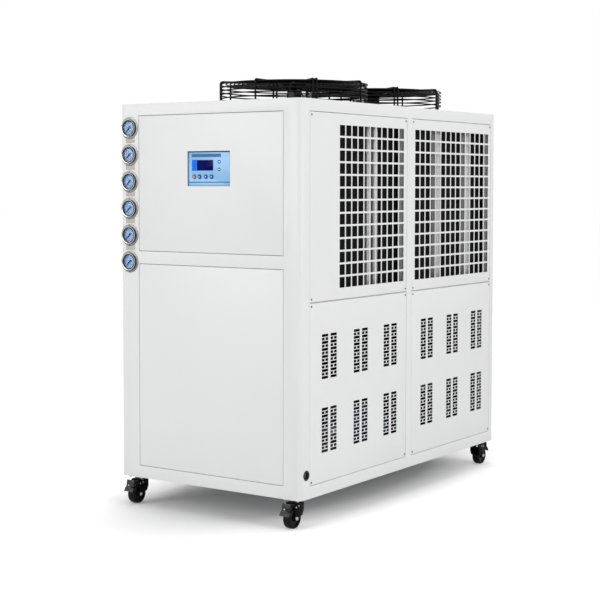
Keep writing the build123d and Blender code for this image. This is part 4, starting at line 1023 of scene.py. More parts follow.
def blade_mesh(turn_by, fan_y):
    """One cambered blade with rounded tip corners, as a thin shell."""
    rows, columns = 14, 12
    root, tip, chord, camber, rise = 0.0675, 0.272, 0.118, 0.009, 0.030
    half_sheet, tip_round = 0.0015, 0.030
    pitch = math.radians(27.0)
    shape = bmesh.new()
    spin = Matrix.Rotation(turn_by, 3, "Z")
    layers = []
    for face in (-half_sheet, half_sheet):
        grid = []
        for i in range(rows + 1):
            radius = root + (tip - root) * i / rows
            near_tip = max(0.0, (radius - (tip - tip_round)) / tip_round)
            half = chord / 2 * (1.0 - 0.45 * near_tip ** 3) * (0.90 + 0.10 * min(1.0, i / 4))
            line = []
            for j in range(columns + 1):
                u = -1 + 2 * j / columns
                across = half * u
                lift = camber * (1 - u * u) + face * math.sqrt(max(0.0, 1 - u ** 6))
                point = Vector((radius, across * math.cos(pitch) - lift * math.sin(pitch),
                                across * math.sin(pitch) + lift * math.cos(pitch) + cup_base + rise))
                line.append(shape.verts.new(spin @ point + Vector((0.0, fan_y, top_z))))
            grid.append(line)
        layers.append(grid)
    for grid in layers:
        for i in range(rows):
            for j in range(columns):
                shape.faces.new([grid[i][j], grid[i + 1][j], grid[i + 1][j + 1], grid[i][j + 1]])
    low, high = layers
    for i in range(rows):
        for j in (0, columns):
            shape.faces.new([low[i][j], low[i + 1][j], high[i + 1][j], high[i][j]])
    for i in (0, rows):
        for j in range(columns):
            shape.faces.new([low[i][j], low[i][j + 1], high[i][j + 1], high[i][j]])
    bmesh.ops.remove_doubles(shape, verts=shape.verts, dist=1e-6)
    bmesh.ops.recalc_face_normals(shape, faces=shape.faces)
    return meshed(shape, "blade")


for place, fan_y in fan_places:
    shapes = [turned(cup_outline, 64, (0.0, fan_y, top_z))]
    shapes += [blade_mesh(math.tau * k / blade_count, fan_y) for k in range(blade_count)]
    impeller = joined(f"impeller_{place}", shapes, fan_blade, 40.0)
    fitted(impeller, f"fan_{place}", "fan_blade", f"fan_impeller_{place}")

# Condenser coils
# Finned blocks behind the side grilles: thin black-coated fins across rows of tube, between pressed
# galvanised channels. Bright upright channels cover the tube bends at three places on each side. Beside
# two of them and on the coil's ends, a darker copy of the same zinc is painted shade.
coil_face = side_x - 0.032 - 0.0003
coil_depth = 0.058
coil_step = 0.006
coil_y = (front_y + 0.262, front_y + 1.500)
coil_z = (base_z + 0.745, base_z + 1.404)
fin_pitch = 0.0055
fin_size = (0.016, coil_y[1] - coil_y[0] - 0.004, 0.0011)
channel_sheet = 0.002
channel_lip = 0.010
# Strips of the darker zinc beside the bright channels are painted shade.
channel_strips = [(0.5020, 0.5320, "bright"), (0.5500, 0.5810, "bright"), (1.0145, 1.0535, "painted_shade"),
                  (1.0565, 1.0975, "bright"), (1.2725, 1.3115, "painted_shade"), (1.3145, 1.3555, "bright")]
fin_black = finish_material("fin_black", (0.004, 0.004, 0.004), (0.010, 0.010, 0.010), (0.6, 0.8), peel=500.0,
                            bump=0.1, tone=15.0, specular=0.15)
bright_zinc = finish_material("bright_zinc", (0.60, 0.60, 0.59), (0.74, 0.74, 0.73), (0.30, 0.42),
                              metallic=0.35, peel=160.0, bump=0.1, tone=14.0)
# A darker copy of bright_zinc: painted shade.
painted_shade_zinc = finish_material("painted_shade_zinc", (0.11, 0.11, 0.11), (0.22, 0.22, 0.22), (0.36, 0.5), metallic=0.35,
                            peel=160.0, bump=0.1, tone=14.0)
fin_stack = repeat_tree("fin_stack", [("Size", "Vector", fin_size)],
                        {"fin": "MeshCube", "spread": "InstanceOnPoints",
                         "real": "RealizeInstances"},
                        ["given.Size > fin.Size", "given.Mesh > spread.Points", "fin.Mesh > spread.Instance",
                         "spread.Instances > real.Geometry"], "real.Geometry")
fin_places = []
coil_boxes = []
channel_boxes = {"bright": [], "painted_shade": []}
for side in (-1, 1):
    fin_z = coil_z[0] + 0.004
    while fin_z < coil_z[1] - 0.003:
        fin_places.append((side * (coil_face - coil_step - 0.008), (coil_y[0] + coil_y[1]) / 2, fin_z))
        fin_z += fin_pitch
    near, web, back = side * coil_face, side * (coil_face - channel_sheet), side * (coil_face - coil_depth)
    lip = side * (coil_face - channel_lip)
    ends = sorted((back, side * (coil_face - coil_step - 0.0045)))
    coil_boxes.append(((ends[0], coil_y[0] + 0.002, coil_z[0]), (ends[1], coil_y[1] - 0.002, coil_z[1])))
    for low, high, kind in channel_strips:
        low, high = front_y + low, front_y + high
        for first, last, y0, y1 in ((near, web, low, high), (near, lip, low, low + channel_sheet),
                                    (near, lip, high - channel_sheet, high)):
            channel_boxes[kind].append(((min(first, last), y0, coil_z[0]), (max(first, last), y1, coil_z[1])))
    # The coil's end plates take the darker zinc too: painted shade.
    for end in coil_y:
        channel_boxes["painted_shade"].append(((min(near, back), end - channel_sheet / 2, coil_z[0]),
                                      (max(near, back), end + channel_sheet / 2, coil_z[1])))
fins = points_object("coil_fins", fin_places, [(0.0, 1.0, 0.0)] * len(fin_places))
run_tree(fins, fin_stack, {"Size": fin_size}, fin_black, None)
fitted(fins, "cabinet", "motor_black", "condenser_coils")
fitted(mesh_object("coil_cores", boxes_mesh(coil_boxes), fin_black), "cabinet", "motor_black")
for kind, finish in (("bright", bright_zinc), ("painted_shade", painted_shade_zinc)):
    soft_parts(f"coil_channels_{kind}", [boxes_mesh(channel_boxes[kind])], 0.0006, finish, "cabinet",
               "galvanised_sheet")

# Caster plates
# Four zinc-plated pressed plates bolted under the bottom rails, each with its ball raceway and riveted
# kingpin.
caster_x = side_x - 0.057
caster_inset = 0.050
plate_half = 0.037
plate_bolt_reach = 0.028
bolt_zinc = finish_material("bolt_zinc", (0.55, 0.55, 0.53), (0.68, 0.68, 0.66), (0.25, 0.38), metallic=0.8,
                            peel=900.0, bump=0.05, tone=120.0)
half_turn = Matrix.Rotation(math.pi, 4, "Z")
face_up = Matrix.Rotation(math.radians(90), 4, "X")
casters = {}
for end_name, end_y, turn_round in (("front", front_y + caster_inset, half_turn),
                                    ("rear", rear_y - caster_inset, Matrix.Identity(4))):
    for side_name, side in (("left", -1), ("right", 1)):
        casters[f"{end_name}_{side_name}"] = Matrix.Translation((side * caster_x, end_y, 0.0)) @ turn_round


def moved(mesh, matrix):
    """The same mesh after a move."""
    mesh.transform(matrix)
    return mesh


race_outline = [(0.0, 0.0972), (0.0180, 0.0972), (0.0222, 0.0980), (0.0230, 0.0995), (0.0230, 0.1030),
                (0.0215, 0.1062), (0.0, 0.1062)]
kingpin_outline = [(0.0, 0.0892), (0.0042, 0.0892), (0.0050, 0.0900), (0.0050, 0.0975), (0.0, 0.0975)]
plate_bolt_outline = [(0.0, 0.1012), (0.0048, 0.1012), (0.0055, 0.1018), (0.0055, 0.1058), (0.0, 0.1058)]
plate_loop = soft_loop(-plate_half, plate_half, -plate_half, plate_half, 0.007)
plates = []
plate_bolts = []
for spot in casters.values():
    plates += [moved(plate_mesh(plate_loop, 0.1060, 0.1099), spot @ face_up),
               moved(turned(race_outline, 48), spot), moved(turned(kingpin_outline, 32), spot)]
    for bolt_x in (-plate_bolt_reach, plate_bolt_reach):
        for bolt_y in (-plate_bolt_reach, plate_bolt_reach):
            plate_bolts.append(moved(turned(plate_bolt_outline, 6, (bolt_x, bolt_y, 0)), spot))
fitted(joined("caster_top_plates", plates, bolt_zinc), "cabinet", "zinc_plated", "caster_plates")
fitted(joined("caster_plate_bolts", plate_bolts, bolt_zinc), "cabinet", "zinc_plated")

# Caster forks
# Each fork is one pressing: a crown round the raceway and two cheeks that taper to the axle, with a
# bright axle bolt and rivet heads.
caster_trail = 0.024
wheel_radius = 0.038
cheek_near, cheek_far = 0.0180, 0.0210
cheek_foot = 0.009
pedal_pivot = (0.016, 0.0863)
caster_black = finish_material("caster_black", (0.0025, 0.0025, 0.0025), (0.005, 0.005, 0.005), (0.14, 0.26),
                               peel=420.0, bump=0.08, tone=18.0, specular=0.05)
foot = [(caster_trail + cheek_foot * math.cos(math.radians(a)),
         wheel_radius + cheek_foot * math.sin(math.radians(a))) for a in range(215, 362, 14)]
cheek_loop = [(-0.0230, 0.0932), (-0.0238, 0.0900), (-0.0232, 0.0640), (-0.0150, 0.0470), *foot,
              (0.0345, 0.0640), (0.0330, 0.0932)]
axle_head = [(0.0, 0.0208), (0.0068, 0.0208), (0.0068, 0.0216), (0.0060, 0.0220), (0.0060, 0.0242),
             (0.0052, 0.0249), (0.0, 0.0249)]
rivet_head = [(0.0, 0.0208), (0.0032, 0.0208), (0.0030, 0.0217), (0.0019, 0.0223), (0.0, 0.0225)]
heads = ((axle_head, 12, (0, caster_trail, wheel_radius)), (rivet_head, 16, (0, 0.027, 0.0800)),
         (rivet_head, 16, (0, 0.010, 0.0830)))
sideways = Matrix.Rotation(math.radians(90), 4, "Z")
for name, spot in casters.items():
    cheeks = [moved(plate_mesh(cheek_loop, near, far), spot @ sideways)
              for near, far in ((cheek_near, cheek_far), (-cheek_far, -cheek_near))]
    bridge = moved(boxes_mesh([((-0.0200, -0.0228, 0.0932), (0.0200, 0.0328, 0.0966))]), spot)
    soft_parts(f"fork_{name}", [*cheeks, bridge], 0.0011, caster_black, f"caster_{name}", "caster_black",
               f"caster_fork_{name}")
    bolts = [moved(turned(outline, count, (0, 0, 0), "X"), spot @ Matrix.Translation(place) @ flip)
             for flip in (half_turn, Matrix.Identity(4)) for outline, count, place in heads]
    for radius, reach, sides, place in ((0.0039, 0.0208, 24, (0, caster_trail, wheel_radius)),
                                        (0.0024, 0.0184, 20, (0, *pedal_pivot))):
        bolts.append(moved(bored(radius, reach, sides, place, "X"), spot))
    fitted(joined(f"fork_bolts_{name}", bolts, bolt_zinc), f"caster_{name}", "zinc_plated")

# Caster wheels
# Moulded black wheels with a crowned tread, a recessed web on both sides and a hub that turns on the
# axle bolt.
wheel_black = finish_material("wheel_black", (0.003, 0.003, 0.003), (0.006, 0.006, 0.006), (0.20, 0.34),
                              peel=600.0, bump=0.04, tone=24.0, specular=0.14)
half_wheel = [(0.0042, -0.0165), (0.0105, -0.0165), (0.0113, -0.0158), (0.0118, -0.0115), (0.0265, -0.0115),
              (0.0274, -0.0150), (0.0283, -0.0163), (0.0310, -0.0169), (0.0338, -0.0164), (0.0360, -0.0146),
              (0.0373, -0.0116), (0.0380, -0.0070)]
wheel_outline = half_wheel + [(radius, -along) for radius, along in reversed(half_wheel)]
for name, spot in casters.items():
    wheel = moved(turned(wheel_outline, 64, (0, caster_trail, wheel_radius), "X"), spot)
    fitted(mesh_object(f"wheel_{name}", wheel, wheel_black, 35.0), f"wheel_{name}", "wheel_black",
           f"caster_wheel_{name}")

# Brake pedals
# A pressed and painted lever pinned between the cheeks, with a raised upper tab, a waist and a broad
# lip for the foot. A bright stud is riveted through the tab.
pedal_slope = math.atan2(0.024, 0.060)
pedal_grey = finish_material("pedal_grey", (0.016, 0.016, 0.017), (0.034, 0.034, 0.035), (0.32, 0.46),
                             peel=500.0, bump=0.12, tone=30.0, specular=0.3)
pedal_low, pedal_high = -0.0012, 0.0016
lever_half_sheet = 0.0014
lever_half = [(0.0118, -0.0040), (0.0118, 0.0420), (0.0100, 0.0470), (0.0100, 0.0510), (0.0160, 0.0560)]
lever_loop = lever_half + [(-half, run) for half, run in reversed(lever_half)]
tab_rects = (((-0.0185, -0.0225), (0.0185, -0.0050)), ((0.0, -0.0060), (0.0175, 0.0040)))
lip_rects = (((-0.0215, 0.0020), (0.0215, 0.0180)), ((-0.0040, -0.0050), (0.0190, 0.0030)))
stud_outline = [(0.0, 0.0), (0.0026, 0.0), (0.0024, 0.0012), (0.0013, 0.0019), (0.0, 0.0020)]
boss_outline = [(0.0027, -0.0118), (0.0050, -0.0118), (0.0054, -0.0112), (0.0054, 0.0112), (0.0050, 0.0118),
                (0.0027, 0.0118)]


def leaning(place, angle):
    """A place in a caster from which a sheet leans back about X."""
    return Matrix.Translation(place) @ Matrix.Rotation(-angle, 4, "X")


for name, spot in casters.items():
    tip_down = spot @ leaning((0.0, *pedal_pivot), pedal_slope)
    tab_up = spot @ leaning((0.0, 0.0630, 0.0750), math.radians(80))
    lip_down = spot @ leaning((0.0, 0.0655, 0.0690), math.radians(62))
    flaps = [moved(boxes_mesh([((*low, pedal_low), (*high, pedal_high)) for low, high in rects]), matrix)
             for rects, matrix in ((tab_rects, tab_up), (lip_rects, lip_down))]
    lever = moved(plate_mesh(lever_loop, -lever_half_sheet, lever_half_sheet), tip_down @ face_up.inverted())
    boss = moved(turned(boss_outline, 32, (0, 0, 0), "X"), tip_down)
    stud = moved(turned(stud_outline, 16), tab_up @ Matrix.Translation((0.0060, -0.0010, 0.0014)))
    fitted(mesh_object(f"pedal_stud_{name}", stud, bolt_zinc), f"pedal_{name}", "zinc_plated")
    soft_parts(f"pedal_{name}", [lever, *flaps, boss], 0.0007, pedal_grey, f"pedal_{name}", "caster_black",
               f"brake_pedal_{name}")

# Electrical panel
# A galvanised bulkhead behind the control door, with two rows of moulded switchgear clipped on rails
# and slotted plastic ducts for the wires.
bulkhead_x = 0.3977
bulkhead_y = front_y + 0.254
bulkhead_z = (0.990, 1.5377)
device_face = bulkhead_y - 0.074
device_step = bulkhead_y - 0.058
device_depth = 0.082
device_pitch = 0.112
pole_pitch = 0.022
device_half = (0.036, 0.048)
nose_half = (0.034, 0.027)
pole_half = (0.0065, 0.010)
rail_half = (0.330, 0.0175)
duct_half = (0.345, 0.020)
device_rows = (1.169, 1.359)
duct_levels = (1.048, 1.264, 1.470)
device_spots = [((column - 2) * device_pitch, z) for z in device_rows for column in range(5)]
terminal_screw = (0.0052, 0.0018, 0.0012)
galvanised_bright = finish_material("galvanised_bright", (0.34, 0.345, 0.35), (0.52, 0.525, 0.53),
                                    (0.32, 0.50), metallic=0.75, peel=240.0, bump=0.05, tone=26.0)
device_grey = finish_material("device_grey", (0.46, 0.46, 0.45), (0.52, 0.52, 0.51), (0.40, 0.52),
                              peel=900.0, bump=0.06, tone=40.0)
duct_grey = finish_material("duct_grey", (0.36, 0.37, 0.38), (0.42, 0.43, 0.44), (0.45, 0.6), peel=700.0,
                            bump=0.05, tone=30.0)
wire_blue = finish_material("wire_blue", (0.012, 0.03, 0.12), (0.02, 0.045, 0.16), (0.4, 0.5), peel=900.0,
                            bump=0.03, tone=50.0)
panel_boxes = [((-bulkhead_x, bulkhead_y, bulkhead_z[0]), (bulkhead_x, bulkhead_y + 0.002, bulkhead_z[1]))]
panel_boxes += [((-bulkhead_x, bulkhead_y - 0.016, z), (bulkhead_x, bulkhead_y, z + 0.002))
                for z in (bulkhead_z[0], bulkhead_z[1] - 0.002)]
panel_boxes += [((-rail_half[0], bulkhead_y - 0.0075, z - rail_half[1]),
                 (rail_half[0], bulkhead_y, z + rail_half[1])) for z in device_rows]
soft_parts("bulkhead", [boxes_mesh(panel_boxes)], 0.0006, galvanised_bright, "cabinet", "galvanised_sheet",
           "electrical_panel")
grey_parts, black_parts, terminal_spots = [], [], []
for index, (x, z) in enumerate(device_spots):
    row_parts, face_parts = (grey_parts, black_parts) if index >= 5 else (black_parts, grey_parts)
    row_parts.append(boxes_mesh([((x - half[0], near, z - half[1]), (x + half[0], far, z + half[1]))
                                 for half, near, far in ((device_half, device_step, bulkhead_y),
                                                         (nose_half, device_face, device_step))]))
    for k in (-1, 0, 1):
        middle = x + k * pole_pitch
        face_parts.append(boxes_mesh([((middle - pole_half[0], bulkhead_y - device_depth, z - pole_half[1]),
                                       (middle + pole_half[0], device_face, z + pole_half[1]))]))
        terminal_spots += [(middle, device_step, z + end * 0.038) for end in (-1, 1)]
for name, parts, finish in (("grey", grey_parts, device_grey), ("black", black_parts, motor_black)):
    soft_parts(f"switchgear_{name}", parts, 0.0012, finish, "cabinet", "galvanised_sheet")
screw_heads("terminal_screws", terminal_spots, [(0.0, -1.0, 0.0)] * len(terminal_spots), terminal_screw,
            bolt_zinc)
duct_boxes = [((-duct_half[0], bulkhead_y - 0.045, z - duct_half[1]),
               (duct_half[0], bulkhead_y, z + duct_half[1])) for z in duct_levels]
soft_parts("wire_ducts", [boxes_mesh(duct_boxes)], 0.0015, duct_grey, "cabinet", "galvanised_sheet")
slot_spots = [(-0.334 + 0.0123 * k, bulkhead_y - 0.0451, z) for z in duct_levels for k in range(55)]
duct_slots = points_object("duct_slots", slot_spots, [(0.0, 0.0, 1.0)] * len(slot_spots))
run_tree(duct_slots, bars_on_points, {"Width": 0.0045, "Depth": 0.0004, "Length": 0.027}, motor_black)
fitted(duct_slots, "cabinet", "galvanised_sheet")
for shift, name, finish in ((-1, "left", black_rubber), (0, "middle", wire_blue), (1, "right", black_rubber)):
    runs = []
    for x, z in device_spots:
        pole_x = x + shift * pole_pitch
        for end in (-1, 1):
            duct_z = duct_levels[device_rows.index(z) + (end > 0)]
            runs.append([(pole_x, bulkhead_y - 0.050, z + end * 0.046),
                         (pole_x, bulkhead_y - 0.052, z + end * 0.049 + end * 0.010),
                         (pole_x, bulkhead_y - 0.030, duct_z - end * 0.0195)])
    bent_run(f"panel_wires_{name}", runs, 0.0016, 0.006, finish, "galvanised_sheet")

# Water tank
# A welded stainless tank wrapped in black closed-cell foam, with taped bands over its joints. The
# brushed stainless lid overhangs it and is screwed down.
tank_x = (-0.222, 0.338)
tank_y = (0.226, 0.666)
tank_z = (0.144, 0.704)
band_lows = (0.150, 0.265, 0.385, 0.505, 0.625)
band_width = 0.022
lid_over = 0.010
lid_screw = (0.0045, 0.0013, 0.001)
stainless = finish_material("stainless", (0.42, 0.425, 0.43), (0.56, 0.565, 0.57), (0.26, 0.42), metallic=1.0,
                            peel=300.0, bump=0.05, tone=14.0)
black_foam = finish_material("black_foam", (0.004, 0.004, 0.004), (0.009, 0.009, 0.009), (0.75, 0.90),
                             peel=240.0, bump=0.25, tone=22.0, specular=0.10)
foam_tape = finish_material("foam_tape", (0.020, 0.020, 0.021), (0.030, 0.030, 0.031), (0.28, 0.40),
                            peel=180.0, bump=0.10, tone=30.0, specular=0.35)


def level_plate(outline, low, high):
    """A level plate between two heights, its outline a closed loop of (x, y)."""
    mesh = plate_mesh(outline, low, high)
    mesh.transform(Matrix(((1, 0, 0, 0), (0, 0, 1, 0), (0, 1, 0, 0), (0, 0, 0, 1))))
    mesh.flip_normals()
    return mesh


def box_round(x, y, low, high, radius, grow=0.0):
    """An upright box with rounded corners over spans of x and y, grown outward by a length."""
    return level_plate(soft_loop(x[0] - grow, x[1] + grow, y[0] - grow, y[1] + grow, radius, 4), low, high)


tank_parts = [box_round(tank_x, tank_y, *tank_z, 0.018, -0.002)]
tank_parts[0].materials.append(black_foam)
for z in band_lows:
    band = box_round(tank_x, tank_y, z, z + band_width, 0.020)
    band.materials.append(foam_tape)
    tank_parts.append(band)
fitted(softened(joined("tank", tank_parts), 0.0015), "cabinet", "black_rubber", "water_tank")
soft_parts("tank_lid", [box_round(tank_x, tank_y, 0.7045, 0.7125, 0.024, lid_over),
                        box_round(tank_x, tank_y, 0.7120, 0.7138, 0.03, lid_over - 0.03)],
           0.0015, stainless, "cabinet", "stainless")
lid_rows = (tank_y[0] - lid_over + 0.014, tank_y[1] + lid_over - 0.014)
lid_spots = [(x, y, 0.7125) for y in lid_rows for x in (-0.20, -0.06, 0.08, 0.22, 0.32)]
screw_heads("lid_screws", lid_spots, [(0.0, 0.0, 1.0)] * len(lid_spots), lid_screw, bolt_zinc)

# Compressor
# A hermetic scroll compressor: a drawn steel shell with a domed cap and welded seams on a pressed foot,
# painted black and bolted through rubber bushes.
compressor_x, compressor_y = 0.180, -0.452
foot_half = 0.115
foot_bolt_reach = 0.095
shell_black = finish_material("shell_black", (0.007, 0.007, 0.0075), (0.014, 0.014, 0.015), (0.28, 0.42),
                              peel=260.0, bump=0.14, tone=9.0)
shell_outline = [(0.0, 0.166), (0.088, 0.166), (0.090, 0.170), (0.090, 0.215), (0.0915, 0.217),
                 (0.0915, 0.221), (0.090, 0.223), (0.090, 0.452), (0.0918, 0.454), (0.0918, 0.462),
                 (0.0900, 0.465), (0.0890, 0.492), (0.0820, 0.514), (0.0690, 0.530), (0.0500, 0.5400),
                 (0.0250, 0.5435), (0.0, 0.5438)]
bush_foot_outline = [(0.0, 0.1442), (0.0150, 0.1442), (0.0160, 0.1460), (0.0140, 0.1510), (0.0160, 0.1560),
                     (0.0160, 0.1580), (0.0, 0.1580)]
foot_bolt_outline = [(0.0, 0.1662), (0.0120, 0.1662), (0.0120, 0.1682), (0.0068, 0.1682), (0.0068, 0.1740),
                     (0.0060, 0.1748), (0.0, 0.1748)]
soft_parts("compressor_shell", [
    turned(shell_outline, 72, (compressor_x, compressor_y, 0.0)),
    box_round((compressor_x, compressor_x), (compressor_y, compressor_y), 0.158, 0.1662, 0.022, foot_half),
    boxes_mesh([((compressor_x - 0.032, compressor_y - 0.112, 0.372),
                 (compressor_x + 0.032, compressor_y - 0.080, 0.442))])],
    0.0015, shell_black, "cabinet", "motor_black", "compressor")
foot_places = [(compressor_x + x, compressor_y + y, 0.0) for x in (-foot_bolt_reach, foot_bolt_reach)
               for y in (-foot_bolt_reach, foot_bolt_reach)]
for name, outline, sides, finish, slot in (
        ("compressor_bushes", bush_foot_outline, 32, black_rubber, "black_rubber"),
        ("compressor_bolts", foot_bolt_outline, 6, bolt_zinc, "zinc_plated")):
    fitted(joined(name, [turned(outline, sides, place) for place in foot_places], finish), "cabinet", slot)

# Evaporator
# A brazed plate heat exchanger: a stack of pressed stainless plates between two thick cover plates,
# joined by copper in a furnace.
exchanger_x, exchanger_y = -0.250, -0.452
exchanger_z = (0.144, 0.644)
braze_half = (0.052, 0.1165)
cover_reach = (0.0525, 0.0598)
cover_half = 0.120
copper = finish_material("copper", (0.50, 0.235, 0.13), (0.66, 0.33, 0.19), (0.24, 0.40), metallic=1.0,
                         peel=160.0, bump=0.06, tone=22.0)
plate_spots = [(exchanger_x - 0.0500 + 0.0040 * k, exchanger_y, sum(exchanger_z) / 2) for k in range(26)]
stack = points_object("exchanger_plates", plate_spots, [(0.0, 1.0, 0.0)] * len(plate_spots))
run_tree(stack, fin_stack, {"Size": (0.0022, 0.2385, 0.4975)}, stainless, None)
fitted(stack, "cabinet", "stainless", "evaporator")
brazing = boxes_mesh([((exchanger_x - braze_half[0], exchanger_y - braze_half[1], 0.148),
                       (exchanger_x + braze_half[0], exchanger_y + braze_half[1], 0.640))])
fitted(mesh_object("exchanger_braze", brazing, copper), "cabinet", "copper")
covers = []
for side in (-1, 1):
    near, far = sorted(exchanger_x + side * reach for reach in cover_reach)
    covers.append(((near, exchanger_y - cover_half, exchanger_z[0]),
                   (far, exchanger_y + cover_half, exchanger_z[1])))
soft_parts("exchanger_covers", [boxes_mesh(covers)], 0.002, stainless, "cabinet", "stainless")

# Water pump
# A close-coupled centrifugal pump in cast iron: a volute with its bolted cover, and a ribbed motor with
# a terminal box and fan cowl, on one foot.
pump_x, pump_y, pump_z = 0.180, -0.082, 0.256
pump_rib_count = 28
cover_bolt_count = 8
cover_bolt_reach = 0.072
pump_paint = finish_material("pump_paint", (0.012, 0.055, 0.16), (0.020, 0.080, 0.22), (0.30, 0.44),
                             peel=150.0, bump=0.22, tone=10.0)
pump_outline = [(0.0, -0.062), (0.034, -0.062), (0.036, -0.054), (0.066, -0.050), (0.084, -0.042),
                (0.088, -0.030), (0.088, -0.012), (0.084, -0.004), (0.078, 0.0), (0.064, 0.006),
                (0.062, 0.160), (0.0695, 0.162), (0.0700, 0.166), (0.0700, 0.200), (0.0660, 0.2085),
                (0.030, 0.2098), (0.0, 0.2098)]
cover_bolt_outline = [(0.0, -0.0535), (0.0052, -0.0535), (0.0052, -0.0482), (0.0, -0.0482)]
pump_parts = [turned(pump_outline, 72, (pump_x, pump_y, pump_z), "Y")]
for k in range(pump_rib_count):
    rib = boxes_mesh([((-0.0011, pump_y + 0.010, 0.060), (0.0011, pump_y + 0.158, 0.0695))])
    pump_parts.append(moved(rib, Matrix.Translation((pump_x, 0, pump_z)) @
                            Matrix.Rotation(math.tau * k / pump_rib_count, 4, "Y")))
pump_parts.append(boxes_mesh([((pump_x - half, pump_y + y0, low), (pump_x + half, pump_y + y1, high))
                              for half, y0, y1, low, high in ((0.065, -0.058, 0.208, 0.1442, 0.156),
                                                              (0.030, -0.040, 0.150, 0.150, 0.200),
                                                              (0.036, 0.040, 0.120, 0.314, 0.342))]))
soft_parts("pump_body", pump_parts, 0.0008, pump_paint, "cabinet", "pump_paint", "water_pump")
cover_bolts = []
for k in range(cover_bolt_count):
    angle = math.tau * (k + 0.5) / cover_bolt_count
    place = (pump_x + cover_bolt_reach * math.cos(angle), pump_y, pump_z + cover_bolt_reach * math.sin(angle))
    cover_bolts.append(turned(cover_bolt_outline, 6, place, "Y"))
fitted(joined("pump_bolts", cover_bolts, bolt_zinc), "cabinet", "zinc_plated")

# Refrigerant pipes
# Soft copper tube bent cold and brazed at its joints, with a steel filter drier in the liquid line.
# Each joint has a short sleeve.
gas_radius = 0.009
header_z, coil_port_z, suction_z = 0.795, 0.8546, 0.734
coil_port_x = 0.369
discharge_x, suction_x, suction_y = 0.210, 0.150, -0.492
exchanger_ports = (-0.522, -0.382)
gas_runs = [[(discharge_x, compressor_y, 0.538), (discharge_x, compressor_y, header_z),
             (coil_port_x, compressor_y, header_z), (coil_port_x, compressor_y, coil_port_z)],
            [(exchanger_x, exchanger_ports[0], 0.642), (exchanger_x, exchanger_ports[0], suction_z),
             (suction_x, exchanger_ports[0], suction_z), (suction_x, suction_y, suction_z),
             (suction_x, suction_y, 0.536)],
            [(exchanger_x, exchanger_ports[1], 0.642), (exchanger_x, exchanger_ports[1], header_z),
             (-coil_port_x, exchanger_ports[1], header_z), (-coil_port_x, exchanger_ports[1], coil_port_z)]]
bent_run("gas_pipes", gas_runs, gas_radius, 0.028, copper, "copper", "refrigerant_pipes", sides=20)
sleeve_outline = [(gas_radius, 0.0), (gas_radius + 0.0018, 0.0012), (gas_radius + 0.0018, 0.0158),
                  (gas_radius, 0.0170), (gas_radius - 0.001, 0.0170), (gas_radius - 0.001, 0.0)]
sleeve_places = ((discharge_x, compressor_y, 0.548), (exchanger_x, exchanger_ports[0], 0.6445),
                 (suction_x, suction_y, 0.550), (exchanger_x, exchanger_ports[1], 0.6445),
                 (coil_port_x, compressor_y, 0.836), (-coil_port_x, exchanger_ports[1], 0.836))
sleeves = [turned(sleeve_outline, 32, place) for place in sleeve_places]
fitted(joined("gas_sleeves", sleeves, copper), "cabinet", "copper")
drier_outline = [(0.0, 0.6645), (0.0100, 0.6645), (0.0120, 0.6690), (0.0280, 0.6730), (0.0316, 0.6790),
                 (0.0320, 0.6840), (0.0320, 0.7560), (0.0316, 0.7600), (0.0280, 0.7660), (0.0120, 0.7700),
                 (0.0100, 0.7745), (0.0, 0.7745)]
drier = turned(drier_outline, 48, (exchanger_x, exchanger_ports[1], 0.0))
fitted(mesh_object("filter_drier", drier, pump_paint), "cabinet", "copper")

# Water pipes
# Galvanised screwed tube from the rear connections to the tank, heat exchanger and pump. Outside the
# rear panel each ends in a threaded nipple with a locknut, and the lowest carries a small brass cock.
water_radius = 0.0192
pipe_end = 0.680
tank_side = (tank_x[0] - 0.0003, 0.446)
supply_z, return_z = water_ports
exchanger_port_z = 0.296
thread_pitch = 0.0023
thread_depth = 0.0011
pipe_zinc = finish_material("pipe_zinc", (0.36, 0.365, 0.37), (0.54, 0.545, 0.55), (0.30, 0.46),
                            metallic=0.85, peel=200.0, bump=0.08, tone=30.0)
brass = finish_material("brass", (0.56, 0.40, 0.16), (0.70, 0.52, 0.24), (0.24, 0.38), metallic=1.0,
                        peel=220.0, bump=0.10, tone=26.0)
water_runs = [[(pipe_x, pipe_end, supply_z), (pipe_x, tank_side[1], supply_z), (*tank_side, supply_z)],
              [(pipe_x, pipe_end, return_z), (pipe_x, -0.272, return_z), (exchanger_x, -0.272, return_z),
               (exchanger_x, -0.3317, return_z)],
              [(-0.1897, exchanger_y, exchanger_port_z), (0.030, exchanger_y, exchanger_port_z),
               (0.030, -0.204, pump_z), (pump_x, -0.204, pump_z), (pump_x, -0.1443, pump_z)]]
bent_run("water_runs", water_runs, water_radius, 0.030, pipe_zinc, "pipe_steel", "water_pipes", sides=28)
drain_run = [(pipe_x, pipe_end, drain_port), (pipe_x, tank_side[1], drain_port), (*tank_side, drain_port)]
bent_run("drain_run", [drain_run], 0.0115, 0.024, pipe_zinc, "pipe_steel", sides=24)
fittings = []
for z, reach, radius, inside in ((supply_z, 0.050, 0.0212, 0.0175), (return_z, 0.050, 0.0212, 0.0175),
                                 (drain_port, 0.028, 0.0135, 0.0100)):
    thread = []
    for k in range(int((reach - 0.014) / thread_pitch)):
        start = 0.012 + k * thread_pitch
        thread += [(radius - thread_depth, start), (radius, start + thread_pitch / 2)]
    nipple = [(inside, -0.080), (radius, -0.080), (radius, 0.010), *thread,
              (radius - thread_depth, reach - 0.001), (radius - 0.0018, reach), (inside, reach)]
    nut = radius + 0.010
    locknut = [(radius, 0.0003), (nut * 0.97, 0.0003), (nut, 0.0013), (nut, 0.0068), (nut * 0.97, 0.0078),
               (radius, 0.0078)]
    fittings += [turned(outline, sides, (pipe_x, rear_y, z), "Y")
                 for outline, sides in ((nipple, 48), (locknut, 6))]
fitted(joined("rear_fittings", fittings, pipe_zinc), "cabinet", "pipe_steel")
